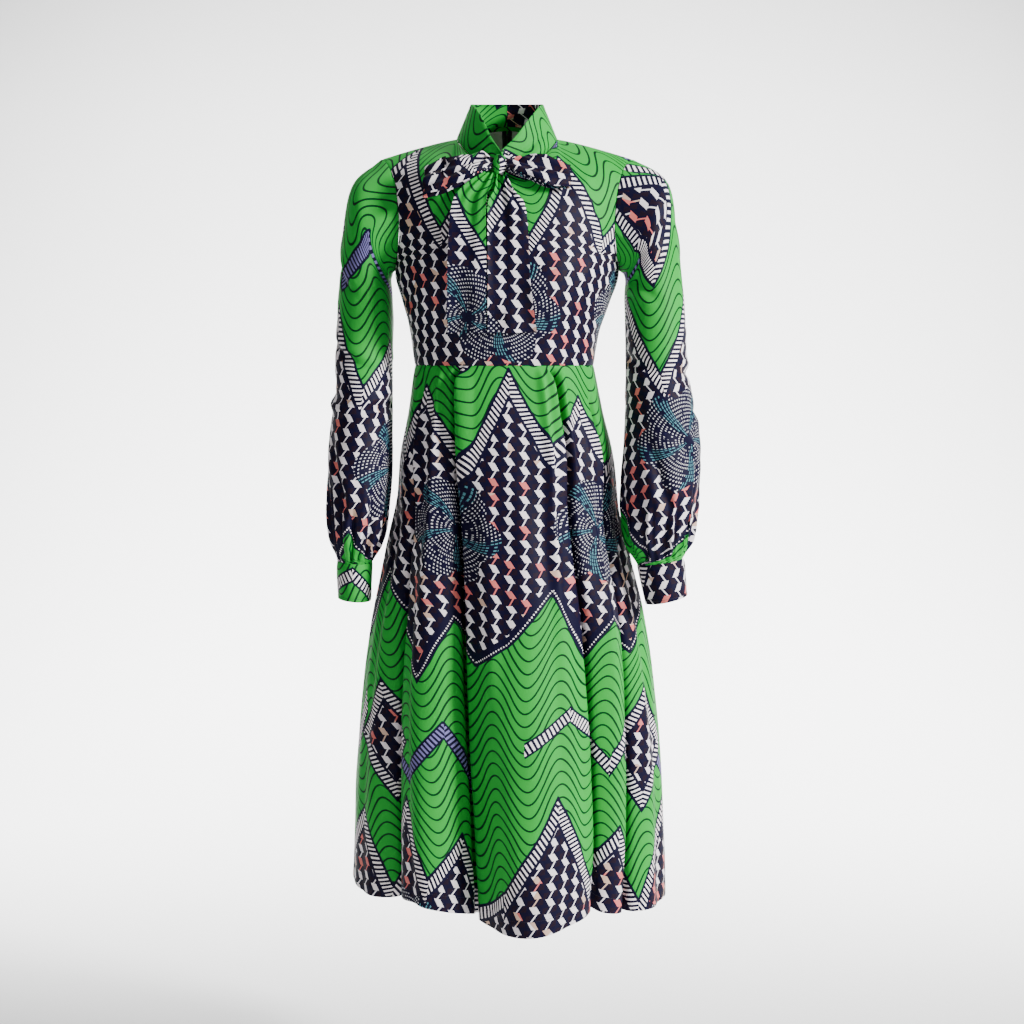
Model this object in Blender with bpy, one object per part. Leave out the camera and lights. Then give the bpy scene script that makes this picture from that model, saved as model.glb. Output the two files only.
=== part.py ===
"""Midi dress in wax-printed cotton: funnel collar with a tied bow, bishop sleeves, flared skirt.

Metres, +Z up.  The dress faces -Y and the wearer's left is +X.  The origin lies midway between
the two points where the shoulder seams meet the collar.  Each piece of cloth is a closed wall
laid inwards from its face; neighbours share the directions of their seams.
"""
from collections import namedtuple

import bmesh
import bpy
import numpy as np
from mathutils import Vector

# ---- walls and gaps -------------------------------------------------------------------------
CLOTH = 0.0020
DOUBLE_CLOTH = 0.0024
TIE_CLOTH = 0.0020
TAPE = 0.0010
GAP = 0.0003
STEP = 1e-4

# ---- bodice: neck, shoulders and levels -----------------------------------------------------
NECK_HALF = 0.0725
NECK_SIDE_Y = 0.003
NECK_FRONT_Y, NECK_FRONT_Z = -0.077, -0.050
NECK_BACK_Y, NECK_BACK_Z = 0.062, 0.025
NECK_RISE_POWER = 1.6
SHOULDER_TIP = (0.180, 0.006, -0.028)
NECK_U = 0.46
ROLL_V = 0.72
ROLL_AT_FRONT_NECK, ROLL_AT_BACK_NECK, ROLL_AT_NECK_SIDE, ROLL_AT_SHOULDER = 52.0, 60.0, 66.0, 86.0
UNDERARM_V = 0.58
WAIST_Z = -0.322
BUST_X, BUST_Z, BUST_OUT, BUST_SPREAD = 0.078, -0.200, 0.018, 0.062

# A row for each level of the bodice, v running from the waist (0) to the neck and shoulders (1).
# mid_y, mid_z lie on the centre line, side_y, side_z on the side seam or armhole; wrap is the
# angle that the panel turns through by its side edge.
BodiceRow = namedtuple("BodiceRow", "v mid_x half mid_y side_y mid_z side_z wrap")
BODICE_FRONT = [
    BodiceRow(0.00, -0.004, 0.1290, -0.098, 0.000, WAIST_Z, WAIST_Z, 90),
    BodiceRow(0.20, -0.003, 0.1365, -0.108, 0.000, -0.272, -0.272, 90),
    BodiceRow(0.40, -0.001, 0.1490, -0.118, 0.000, -0.222, -0.232, 89),
    BodiceRow(0.58, 0.000, 0.1610, -0.114, 0.000, -0.170, -0.188, 88),
    BodiceRow(0.65, 0.000, 0.1560, -0.108, -0.030, -0.145, -0.166, 72),
    BodiceRow(0.72, 0.000, 0.1520, -0.100, -0.048, -0.118, -0.134, 62),
]
BODICE_BACK = [
    BodiceRow(0.00, -0.004, 0.1290, 0.086, 0.000, WAIST_Z, WAIST_Z, 90),
    BodiceRow(0.20, -0.003, 0.1365, 0.090, 0.000, -0.272, -0.272, 90),
    BodiceRow(0.40, -0.001, 0.1490, 0.099, 0.000, -0.222, -0.232, 89),
    BodiceRow(0.58, 0.000, 0.1610, 0.104, 0.000, -0.162, -0.188, 88),
    BodiceRow(0.65, 0.000, 0.1590, 0.103, 0.028, -0.134, -0.164, 72),
    BodiceRow(0.72, 0.000, 0.1580, 0.100, 0.044, -0.105, -0.130, 62),
]
SHOULDER_STEPS = 4
NECK_STEPS = 6
WAIST_STEPS = 6
ARMHOLE_STEPS = 10

# ---- collar: the upper edge, turn running from the front (0) round to the back (180) --------
CollarRow = namedtuple("CollarRow", "turn x y z")
COLLAR_TOP = [
    CollarRow(0, 0.000, -0.083, -0.027),
    CollarRow(22, 0.016, -0.074, -0.008),
    CollarRow(45, 0.034, -0.056, 0.022),
    CollarRow(65, 0.046, -0.034, 0.040),
    CollarRow(90, 0.052, -0.003, 0.048),
    CollarRow(135, 0.039, 0.036, 0.053),
    CollarRow(180, 0.000, 0.050, 0.055),
]
V_SHIFT, V_SHIFT_TURN = -0.008, 60
COLLAR_ROWS = 4
COLLAR_FRONT_DIRECTION, COLLAR_BACK_DIRECTION = (0.0, -0.98, -0.20), (0.0, 0.91, 0.41)
NECK_UP_AT_FRONT, NECK_UP_AT_SIDE = 0.30, 0.80
ARMHOLE_OUT = 0.25

# ---- sleeves: inner and outer edge of each section, seen from the front ---------------------
SleeveRow = namedtuple("SleeveRow", "t in_x in_z out_x out_z mid_y half_y")
SLEEVE_RIGHT = [
    SleeveRow(0.10, 0.1655, -0.1930, 0.2195, -0.0634, 0.003, 0.062),
    SleeveRow(0.20, 0.1670, -0.2020, 0.2350, -0.1300, 0.003, 0.061),
    SleeveRow(0.30, 0.1650, -0.2200, 0.2400, -0.1900, 0.001, 0.060),
    SleeveRow(0.42, 0.1635, -0.2640, 0.2440, -0.2500, -0.004, 0.060),
    SleeveRow(0.55, 0.1640, -0.3400, 0.2455, -0.3350, -0.014, 0.061),
    SleeveRow(0.70, 0.1640, -0.4300, 0.2540, -0.4300, -0.028, 0.065),
    SleeveRow(0.82, 0.1660, -0.5000, 0.2560, -0.5000, -0.038, 0.067),
    SleeveRow(0.92, 0.1760, -0.5620, 0.2505, -0.5600, -0.044, 0.058),
    SleeveRow(1.00, 0.1925, -0.6030, 0.2430, -0.6000, -0.046, 0.038),
]
SLEEVE_LEFT = [
    SleeveRow(0.10, 0.1680, -0.1930, 0.2280, -0.0600, 0.003, 0.062),
    SleeveRow(0.20, 0.1700, -0.2020, 0.2430, -0.1250, 0.003, 0.061),
    SleeveRow(0.30, 0.1690, -0.2200, 0.2495, -0.1850, 0.001, 0.060),
    SleeveRow(0.42, 0.1700, -0.2640, 0.2560, -0.2450, -0.004, 0.060),
    SleeveRow(0.55, 0.1705, -0.3400, 0.2600, -0.3300, -0.014, 0.061),
    SleeveRow(0.70, 0.1670, -0.4300, 0.2750, -0.4200, -0.030, 0.064),
    SleeveRow(0.82, 0.1620, -0.5050, 0.2735, -0.4950, -0.041, 0.066),
    SleeveRow(0.92, 0.1665, -0.5640, 0.2650, -0.5560, -0.046, 0.058),
    SleeveRow(1.00, 0.1860, -0.6060, 0.2520, -0.5960, -0.048, 0.036),
]
SLEEVE_LEVELS = (0.0, 0.05, 0.10, 0.18, 0.28, 0.40, 0.53, 0.66, 0.76, 0.84, 0.90, 0.955, 1.0)
SLEEVE_SEGMENTS = 40
GATHERS, GATHER_DEPTH, GATHER_FROM = 10, 0.0040, 0.76
CuffRow = namedtuple("CuffRow", "in_x in_z out_x out_z mid_y half_y")
CUFF_RIGHT = (CuffRow(0.1925, -0.6030, 0.2430, -0.6000, -0.046, 0.038),
              CuffRow(0.1950, -0.6575, 0.2420, -0.6530, -0.048, 0.037))
CUFF_LEFT = (CuffRow(0.1860, -0.6060, 0.2520, -0.5960, -0.048, 0.036),
             CuffRow(0.1985, -0.6620, 0.2580, -0.6490, -0.050, 0.035))
CUFF_SEGMENTS = 28

# ---- skirt: w runs from the waist (0) to the hem (1) ----------------------------------------
SkirtRow = namedtuple("SkirtRow", "w mid_x half mid_y front_y back_y")
SKIRT = [
    SkirtRow(0.00, -0.004, 0.1290, 0.000, -0.098, 0.086),
    SkirtRow(0.08, -0.002, 0.1400, 0.000, -0.112, 0.102),
    SkirtRow(0.18, 0.000, 0.1560, 0.005, -0.128, 0.128),
    SkirtRow(0.26, 0.000, 0.1600, 0.010, -0.138, 0.146),
    SkirtRow(0.36, 0.001, 0.1770, 0.018, -0.150, 0.168),
    SkirtRow(0.46, 0.003, 0.1960, 0.026, -0.162, 0.190),
    SkirtRow(0.60, 0.003, 0.2150, 0.036, -0.178, 0.218),
    SkirtRow(0.80, 0.003, 0.2320, 0.048, -0.196, 0.250),
    SkirtRow(1.00, 0.003, 0.2400, 0.058, -0.210, 0.275),
]
HEM_Z = -1.106
# Troughs between the hanging folds, angles in degrees from the front towards the wearer's left.
Trough = namedtuple("Trough", "at_waist at_hem depth width_at_waist width_at_hem start")
TROUGHS = [
    Trough(-31, -13, 0.080, 5, 12, 0.00),
    Trough(31, 36, 0.045, 5, 10, 0.00),
    Trough(64, 52, 0.034, 5, 7, 0.10),
    Trough(-62, -50, 0.050, 6, 9, 0.08),
    Trough(-96, -92, 0.040, 8, 11, 0.30),
    Trough(96, 98, 0.045, 8, 12, 0.25),
    Trough(-132, -130, 0.055, 7, 11, 0.05),
    Trough(134, 132, 0.050, 7, 11, 0.05),
    Trough(-166, -162, 0.036, 6, 8, 0.20),
    Trough(164, 166, 0.040, 6, 8, 0.20),
]
TROUGH_PINCH, TROUGH_GROWTH = 0.55, 0.75
Lift = namedtuple("Lift", "at rise width")
HEM_LIFTS = [Lift(-92, 0.040, 30), Lift(-36, 0.034, 20), Lift(30, 0.020, 16), Lift(95, 0.006, 30)]
SKIRT_ROWS = 11
SKIRT_STEPS_PER_QUARTER = 20
SIDE_SEAM_TURN = 90

# ---- bow: edges of the tails on the bodice front, loops and knot ----------------------------
TailRow = namedtuple("TailRow", "z x_from x_to")
TAIL_RIGHT = [
    TailRow(-0.060, -0.0300, -0.0160),
    TailRow(-0.074, -0.0540, -0.0190),
    TailRow(-0.092, -0.0700, -0.0275),
    TailRow(-0.120, -0.0765, -0.0290),
    TailRow(-0.275, -0.0785, -0.0290),
]
TAIL_LEFT = [
    TailRow(-0.062, -0.0135, 0.0000),
    TailRow(-0.080, -0.0160, 0.0080),
    TailRow(-0.100, -0.0255, 0.0240),
    TailRow(-0.122, -0.0265, 0.0280),
    TailRow(-0.200, -0.0265, 0.0320),
    TailRow(-0.275, -0.0260, 0.0400),
]
TAIL_ROWS, TAIL_COLUMNS, TAIL_OFF = 10, 4, 0.0012
KNOT_X, KNOT_Z, KNOT_HALF, KNOT_RAISE = -0.010, -0.045, (0.0095, 0.0085, 0.0140), 0.0105
LoopForm = namedtuple("LoopForm", "root_x root_z tip_x tip_z root_height tip_height back front")
LOOP_RIGHT = LoopForm(-0.0194, -0.047, -0.103, -0.072, 0.018, 0.042, 0.0060, 0.0190)
LOOP_LEFT = LoopForm(-0.0004, -0.048, 0.077, -0.068, 0.018, 0.034, 0.0060, 0.0190)
LOOP_STEPS, LOOP_TURN_STEPS, LOOP_ROWS = 6, 4, 4

# ---- facing inside the back neck, zip and slider --------------------------------------------
TAPE_NEAR, TAPE_FAR, FACING_NEAR = 0.0012, 0.0072, 0.0080
TAPE_SKIRT_ROWS, FACING_BODICE_ROWS, INNER_TOP, INNER_OFF = 3, 4, 0.55, 0.0009
SLIDER_V = 0.955
SLIDER_SIZE = (0.0070, 0.0090, 0.0026)
BRIDGE_WIDTH, BRIDGE_OUTER, BRIDGE_INNER = 0.0022, 0.0026, 0.0014
BRIDGE_SEGMENTS = 12
PIN_RADIUS, PIN_SEGMENTS = 0.0007, 12
PULL_WIDTH, PULL_RAIL, PULL_RING, PULL_LENGTH, PULL_THICK = 0.0064, 0.0013, 0.0062, 0.0240, 0.0012

GREEN = (0.05, 0.36, 0.08, 1.0)
NAVY = (0.012, 0.010, 0.030, 1.0)
PALE = (0.80, 0.72, 0.72, 1.0)
BLACK = (0.010, 0.010, 0.012, 1.0)
STEEL = (0.55, 0.56, 0.58, 1.0)


# ---- numbers --------------------------------------------------------------------------------
def smooth(t):
    """Ease from 0 to 1."""
    t = np.clip(t, 0.0, 1.0)
    return t * t * (3.0 - 2.0 * t)


def column(rows, name, at):
    """Monotone cubic through one column of a table, whose first column is the position."""
    xs = np.array([row[0] for row in rows], float)
    ys = np.array([getattr(row, name) for row in rows], float)
    at = np.clip(np.asarray(at, float), xs[0], xs[-1])
    run = np.diff(xs)
    slope = np.diff(ys) / run
    tangent = np.zeros_like(ys)
    tangent[0], tangent[-1] = slope[0], slope[-1]
    for i in range(1, len(xs) - 1):
        if slope[i - 1] * slope[i] > 0:
            before = 2 * run[i] + run[i - 1]
            after = run[i] + 2 * run[i - 1]
            tangent[i] = (before + after) / (before / slope[i - 1] + after / slope[i])
    i = np.clip(np.searchsorted(xs, at, side="right") - 1, 0, len(run) - 1)
    return hermite((at - xs[i]) / run[i], ys[i], ys[i + 1], run[i] * tangent[i], run[i] * tangent[i + 1])


def hermite(t, start, end, start_run, end_run):
    """Cubic from start to end with the given tangents."""
    return ((2 * t**3 - 3 * t**2 + 1) * start + (t**3 - 2 * t**2 + t) * start_run
            + (3 * t**2 - 2 * t**3) * end + (t**3 - t**2) * end_run)


def unit(vectors):
    """Vectors of length one."""
    return vectors / np.maximum(np.linalg.norm(vectors, axis=-1, keepdims=True), 1e-12)


def normals(surface, a, b, outward):
    """Unit normals of surface(a, b), turned to the side that outward(points) gives."""
    along_a = surface(a + STEP, b) - surface(a - STEP, b)
    along_b = surface(a, b + STEP) - surface(a, b - STEP)
    found = unit(np.cross(along_a, along_b))
    side = np.sign(np.sum(found * outward(surface(a, b)), axis=-1, keepdims=True))
    return found * np.where(side == 0, 1.0, side)


# ---- bodice ---------------------------------------------------------------------------------
def bodice(u, v, front):
    """Face of the bodice: u from -1 to 1 across the panel, v from the waist up."""
    rows = BODICE_FRONT if front else BODICE_BACK
    u, v = np.broadcast_arrays(np.asarray(u, float), np.asarray(v, float))
    a = np.abs(u)
    level = np.minimum(v, ROLL_V)
    mid_x, half, mid_y, side_y, mid_z, side_z, wrap = (
        column(rows, name, level) for name in BodiceRow._fields[1:])
    wrap = np.radians(wrap)
    x = half * np.sin(a * wrap) / np.sin(wrap)
    y = side_y + (mid_y - side_y) * (np.cos(a * wrap) - np.cos(wrap)) / (1.0 - np.cos(wrap))
    z = mid_z + (side_z - mid_z) * a**2

    neck_y, neck_z = (NECK_FRONT_Y, NECK_FRONT_Z) if front else (NECK_BACK_Y, NECK_BACK_Z)
    round_neck = np.clip(a / NECK_U, 0.0, 1.0) * np.pi / 2
    out = np.clip((a - NECK_U) / (1.0 - NECK_U), 0.0, 1.0)
    seam_x = NECK_HALF * np.sin(round_neck) + (SHOULDER_TIP[0] - NECK_HALF) * out
    seam_y = (NECK_SIDE_Y + (neck_y - NECK_SIDE_Y) * np.cos(round_neck)
              + (SHOULDER_TIP[1] - NECK_SIDE_Y) * out)
    seam_z = neck_z * np.cos(round_neck) ** NECK_RISE_POWER + SHOULDER_TIP[2] * out**1.2
    at_neck = ROLL_AT_FRONT_NECK if front else ROLL_AT_BACK_NECK
    full = np.radians(at_neck + (ROLL_AT_NECK_SIDE - at_neck) * smooth(a / NECK_U)
                      + (ROLL_AT_SHOULDER - ROLL_AT_NECK_SIDE) * out)
    roll = np.clip((v - ROLL_V) / (1.0 - ROLL_V), 0.0, 1.0) * full
    back = (np.cos(roll) - np.cos(full)) / (1.0 - np.cos(full))
    x = seam_x + (x - seam_x) * back
    y = seam_y + (y - seam_y) * back
    z = z + (seam_z - z) * np.sin(roll) / np.sin(full)
    if front:
        reach = (x - BUST_X)**2 + (0.85 * (z - BUST_Z))**2
        y = y - BUST_OUT * np.exp(-reach / BUST_SPREAD**2) * (1.0 - a**4)
    return np.stack([mid_x + np.where(u < 0, -x, x), y, z], axis=-1)


def bodice_normals(u, v, front):
    """Normals of the bodice; seams between front and back share one direction."""
    def own(is_front):
        return normals(lambda s, t: bodice(s, t, is_front), u, v,
                       lambda p: p - np.array([0.0, 0.0, -0.20]))
    found = own(front)
    shared = (np.abs(u) >= 1.0) | ((v >= 1.0) & (np.abs(u) >= NECK_U))
    found = np.where(shared[..., None], unit(found + own(not front)), found)
    level = np.where(v <= 0.0, 0.0, 1.0)[..., None]
    return unit(found * np.concatenate([np.ones_like(level), np.ones_like(level), level], axis=-1))


def armhole_uv(turn):
    """Level v and whether on the front, round the armhole from the shoulder (0) by the front."""
    turn = np.asarray(turn, float) % 360.0
    front = turn <= 180.0
    down = np.where(front, turn, 360.0 - turn) / 180.0
    return 1.0 - (1.0 - UNDERARM_V) * down, front


def armhole(turn, side):
    """Points of the armhole edge, on the straight chords between the bodice's own points."""
    pitch = 180.0 / ARMHOLE_STEPS
    first = np.floor(turn / pitch + 1e-6) * pitch
    share = ((turn - first) / pitch)[..., None]

    def corner(at):
        v, front = armhole_uv(at)
        u = np.full(at.shape, float(side))
        return np.where(front[..., None], bodice(u, v, True), bodice(u, v, False))
    return corner(first) * (1.0 - share) + corner(first + pitch) * share


def armhole_direction(turn, side):
    """Direction of the wall's thickness that bodice and sleeve share along the armhole."""
    angle = np.radians(turn)
    return unit(np.stack([side * ARMHOLE_OUT + 0 * angle, -np.sin(angle), np.cos(angle)], axis=-1))


def neck_direction(turn, side):
    """Direction of the wall's thickness that bodice and collar share along the neck seam."""
    angle = np.radians(turn)
    up = NECK_UP_AT_FRONT + (NECK_UP_AT_SIDE - NECK_UP_AT_FRONT) * smooth(turn / 90.0)
    return unit(np.stack([side * np.sin(angle), -np.cos(angle), up], axis=-1))


# ---- sleeves and cuffs ----------------------------------------------------------------------
def section(row, turn, side):
    """Oval section between its inner and outer edge: turn 0 outside, 90 in front."""
    angle = np.radians(turn)
    x = (row.in_x + row.out_x) / 2 + (row.out_x - row.in_x) / 2 * np.cos(angle)
    z = (row.in_z + row.out_z) / 2 + (row.out_z - row.in_z) / 2 * np.cos(angle)
    y = row.mid_y - row.half_y * np.sin(angle)
    return np.stack([side * x, y, z], axis=-1)


def section_centre(row, side):
    """Centre of an oval section."""
    return np.array([side * (row.in_x + row.out_x) / 2, row.mid_y, (row.in_z + row.out_z) / 2])


def sleeve(turn, t, side):
    """Face of a sleeve, from the armhole (0) to the cuff seam (1)."""
    rows = SLEEVE_LEFT if side > 0 else SLEEVE_RIGHT
    turn, t = np.broadcast_arrays(np.asarray(turn, float), np.asarray(t, float))
    places = np.array([0.0] + [row.t for row in rows])
    rings = np.stack([armhole(turn, side)] + [section(row, turn, side) for row in rows])
    slopes = np.diff(rings, axis=0) / np.diff(places).reshape((-1,) + (1,) * turn.ndim + (1,))
    tangents = np.concatenate([slopes[:1], (slopes[1:] + slopes[:-1]) / 2, slopes[-1:]])
    held = np.clip(t, 0.0, 1.0)
    i = np.clip(np.searchsorted(places, held, side="right") - 1, 0, len(places) - 2)
    run = (places[i + 1] - places[i])[..., None]

    def pick(stack, index):
        return np.take_along_axis(stack, index[None, ..., None], axis=0)[0]
    share = ((held - places[i]) / (places[i + 1] - places[i]))[..., None]
    point = hermite(share, pick(rings, i), pick(rings, i + 1),
                    run * pick(tangents, i), run * pick(tangents, i + 1))
    angle = np.radians(turn)
    away = np.stack([side * np.cos(angle), -np.sin(angle), np.zeros_like(angle)], axis=-1)
    swell = smooth((held - GATHER_FROM) / 0.16) * (1.0 - smooth((held - 0.95) / 0.05))
    return point + (GATHER_DEPTH * swell * np.cos(GATHERS * angle))[..., None] * away


def sleeve_centre(points, t, side):
    """Centre line of a sleeve at the levels t."""
    rows = SLEEVE_LEFT if side > 0 else SLEEVE_RIGHT
    mids = np.array([section_centre(row, side) for row in rows])
    places = [row.t for row in rows]
    t = np.broadcast_to(t, points.shape[:-1])
    return np.stack([np.interp(t, places, mids[:, axis]) for axis in range(3)], axis=-1)


def sleeve_normals(turn, t, side):
    """Normals of a sleeve; the last ones lie in the plane of the cuff seam."""
    found = normals(lambda q, s: sleeve(q * 100.0, s, side), turn / 100.0, t,
                    lambda p: p - sleeve_centre(p, t, side))
    last = (SLEEVE_LEFT if side > 0 else SLEEVE_RIGHT)[-1]
    level = unit(found - section_axis(last, side) * np.sum(found * section_axis(last, side), axis=-1,
                                                           keepdims=True))
    return np.where((np.asarray(t) >= 1.0)[..., None], level, found)


def section_axis(row, side):
    """Direction down the sleeve at an oval section."""
    across = np.array([side * (row.out_x - row.in_x), 0.0, row.out_z - row.in_z])
    axis = np.cross(across, np.array([0.0, 1.0, 0.0]))
    return axis / np.linalg.norm(axis) * -np.sign(axis[2])


# ---- skirt ----------------------------------------------------------------------------------
def turn_between(turn, centre):
    """Signed angle from centre to turn."""
    return (turn - centre + 180.0) % 360.0 - 180.0


def skirt(turn, w):
    """Face of the skirt: turn in degrees from the front towards the wearer's left."""
    turn, w = np.broadcast_arrays(np.asarray(turn, float), np.asarray(w, float))
    mid_x, half, mid_y, front_y, back_y = (column(SKIRT, name, w) for name in SkirtRow._fields[1:])
    depth = np.zeros(turn.shape)
    pinch = np.zeros(turn.shape)
    for trough in TROUGHS:
        centre = trough.at_waist + (trough.at_hem - trough.at_waist) * np.maximum(w, 0.0) ** 0.8
        width = trough.width_at_waist + (trough.width_at_hem - trough.width_at_waist) * w
        off = turn_between(turn, centre)
        grown = smooth((w - trough.start) / (1.0 - trough.start)) ** TROUGH_GROWTH
        form = grown * np.exp(-(off / width)**2)
        depth = depth + trough.depth * form
        pinch = pinch - TROUGH_PINCH * off * form
    angle = np.radians(turn + pinch)
    x = half * np.sin(angle)
    y = -np.where(np.cos(angle) > 0, mid_y - front_y, back_y - mid_y) * np.cos(angle)
    reach = np.maximum(np.hypot(x, y), 1e-6)
    keep = 1.0 - depth / reach
    lift = sum(rise.rise * np.exp(-(turn_between(turn, rise.at) / rise.width)**2) for rise in HEM_LIFTS)
    z = WAIST_Z + (HEM_Z + lift - WAIST_Z) * w
    return np.stack([mid_x + x * keep, mid_y + y * keep, z], axis=-1)


def skirt_normals(turn, w):
    """Normals of the skirt, level at the waist seam."""
    found = normals(lambda q, s: skirt(q * 100.0, s), turn / 100.0, w,
                    lambda p: np.stack([p[..., 0], p[..., 1] - 0.02, 0 * p[..., 2]], axis=-1))
    found[..., 2] = np.where(w <= 0.0, 0.0, found[..., 2])
    return unit(found)


# ---- walls ----------------------------------------------------------------------------------
def add_object(name, mesh, colour, roughness=0.75, metallic=0.0):
    """Link a mesh as an object with its own material."""
    material = bpy.data.materials.new(name)
    material.use_nodes = True
    shader = material.node_tree.nodes["Principled BSDF"]
    shader.inputs["Base Color"].default_value = colour
    shader.inputs["Roughness"].default_value = roughness
    shader.inputs["Metallic"].default_value = metallic
    mesh.materials.append(material)
    mesh.shade_smooth()
    mesh.set_sharp_from_angle(angle=np.radians(50))
    thing = bpy.data.objects.new(name, mesh)
    bpy.context.scene.collection.objects.link(thing)
    return thing


def wall(name, outer, inner, colour, closed=False):
    """Closed solid between two grids of points; closed joins the last column to the first."""
    rows, columns = outer.shape[:2]
    bm = bmesh.new()
    grids = [[[bm.verts.new(Vector(point)) for point in row] for row in grid] for grid in (outer, inner)]
    steps = columns if closed else columns - 1

    def strip(first, second):
        for i in range(len(first) - 1):
            bm.faces.new((first[i], first[i + 1], second[i + 1], second[i]))
    for grid in grids:
        for j in range(rows - 1):
            for i in range(steps):
                k = (i + 1) % columns
                bm.faces.new((grid[j][i], grid[j][k], grid[j + 1][k], grid[j + 1][i]))
    for j in (0, rows - 1):
        ends = [list(grid[j]) + ([grid[j][0]] if closed else []) for grid in grids]
        strip(*ends)
    if not closed:
        for i in (0, columns - 1):
            strip([row[i] for row in grids[0]], [row[i] for row in grids[1]])
    bmesh.ops.recalc_face_normals(bm, faces=bm.faces)
    mesh = bpy.data.meshes.new(name)
    bm.to_mesh(mesh)
    bm.free()
    return add_object(name, mesh, colour)


def draw_back(grid, edge, along, pick=slice(None)):
    """Move the points of one edge of a grid half a seam gap towards the next row or column."""
    rows = grid if along == "rows" else np.swapaxes(grid, 0, 1)
    inside = 1 if edge == 0 else -2
    step = unit(rows[inside] - rows[edge]) * GAP / 2
    rows[edge][pick] += step[pick]


# ---- bodice panels --------------------------------------------------------------------------
def bodice_levels():
    """Levels of the bodice's rows: the underarm is one of them."""
    low = np.linspace(0.0, UNDERARM_V, WAIST_STEPS + 1)
    high = np.linspace(UNDERARM_V, 1.0, ARMHOLE_STEPS + 1)
    return np.concatenate([low, high[1:]])


def half_columns():
    """Places across half a panel: the neck point is one of them."""
    neck = np.linspace(0.0, NECK_U, NECK_STEPS + 1)
    return np.concatenate([neck, np.linspace(NECK_U, 1.0, SHOULDER_STEPS + 1)[1:]])


def bodice_grids(across, front):
    """Outer and inner points of one bodice panel between its seams."""
    u, v = np.meshgrid(across, bodice_levels())
    outer = bodice(u, v, front)
    direction = bodice_normals(u, v, front)
    for edge in (0, -1):
        side = across[edge]
        if abs(side) == 1.0:
            down = (1.0 - v[:, edge]) / (1.0 - UNDERARM_V) * 180.0
            held = v[:, edge] >= UNDERARM_V - 1e-9
            turn = (down if front else 360.0 - down)[held]
            direction[held, edge] = armhole_direction(turn, side)
    at_neck = np.abs(across) <= NECK_U + 1e-9
    turn = np.abs(across[at_neck]) / NECK_U * 90.0
    turn = turn if front else 180.0 - turn
    direction[-1, at_neck] = neck_direction(turn, np.sign(across[at_neck]))
    inner = outer - direction * CLOTH
    for grid in (outer, inner):
        draw_back(grid, -1, "rows", np.abs(across) >= NECK_U - 1e-9)
        grid[0, :, 2] += GAP / 2
        for edge in (0, -1):
            seam = slice(None) if across[edge] == 0.0 else v[:, edge] <= UNDERARM_V + 1e-9
            draw_back(grid, edge, "columns", seam)
    return outer, inner


def back_columns(side):
    """Places across one back panel, from left to right as seen from behind the -Y side."""
    return half_columns() if side > 0 else -half_columns()[::-1]


# ---- collar ---------------------------------------------------------------------------------
def collar(turn, height, side):
    """Face of the collar, from the neck seam (0) to its upper edge (1)."""
    turn, height = np.broadcast_arrays(np.asarray(turn, float), np.asarray(height, float))
    on_front = turn <= 90.0
    u = side * NECK_U * np.where(on_front, turn, 180.0 - turn) / 90.0
    base = np.where(on_front[..., None], bodice(u, 1.0, True), bodice(u, 1.0, False))
    top = np.stack([column(COLLAR_TOP, name, turn) for name in ("x", "y", "z")], axis=-1)
    top[..., 0] = side * top[..., 0] + V_SHIFT * (1.0 - smooth(turn / V_SHIFT_TURN))
    return base + (top - base) * height[..., None]


def collar_normals(turn, height, side):
    """Normals of the collar."""
    return normals(lambda q, h: collar(q * 100.0, h, side), np.clip(turn, 0.5, 179.5) / 100.0, height,
                   lambda p: p - np.array([0.0, 0.0, -0.05]))


def collar_half(name, side):
    """One side of the collar, from the tie at the front to the zip at the back."""
    turn, height = np.meshgrid(np.linspace(0.0, 180.0, 2 * NECK_STEPS + 1),
                               np.linspace(0.0, 1.0, COLLAR_ROWS + 1))
    outer = collar(turn, height, side)
    direction = collar_normals(turn, height, side)
    direction[:, 0] = COLLAR_FRONT_DIRECTION
    direction[:, -1] = COLLAR_BACK_DIRECTION
    direction[0] = neck_direction(turn[0], side)
    inner = outer - direction * DOUBLE_CLOTH
    inner[0] = outer[0] - direction[0] * CLOTH
    lift_off(outer, inner)
    for grid in (outer, inner):
        for edge in (0, -1):
            draw_back(grid, edge, "columns")
    return wall(name, outer, inner, GREEN)


def lift_off(outer, inner):
    """Move the first row a seam gap off the neighbour, square to the seam's face."""
    along = np.gradient(outer[0], axis=0)
    away = unit(np.cross(along, outer[0] - inner[0]))
    away = away * np.sign(np.sum(away * (outer[1] - outer[0]), axis=-1, keepdims=True))
    outer[0] += away * GAP
    inner[0] += away * GAP


# ---- sleeves, cuffs -------------------------------------------------------------------------
def sleeve_tube(name, side):
    """One sleeve, gathered into its cuff."""
    turn, t = np.meshgrid(np.arange(SLEEVE_SEGMENTS) * 360.0 / SLEEVE_SEGMENTS, SLEEVE_LEVELS)
    outer = sleeve(turn, t, side)
    direction = sleeve_normals(turn, t, side)
    direction[0] = armhole_direction(turn[0], side)
    inner = outer - direction * CLOTH
    ring_outer = np.concatenate([outer[:, -1:], outer, outer[:, :1]], axis=1)
    ring_inner = np.concatenate([inner[:, -1:], inner, inner[:, :1]], axis=1)
    lift_off(ring_outer, ring_inner)
    outer[0], inner[0] = ring_outer[0, 1:-1], ring_inner[0, 1:-1]
    last = (SLEEVE_LEFT if side > 0 else SLEEVE_RIGHT)[-1]
    for grid in (outer, inner):
        grid[-1] -= section_axis(last, side) * GAP / 2
    return wall(name, outer, inner, GREEN, closed=True)


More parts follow.
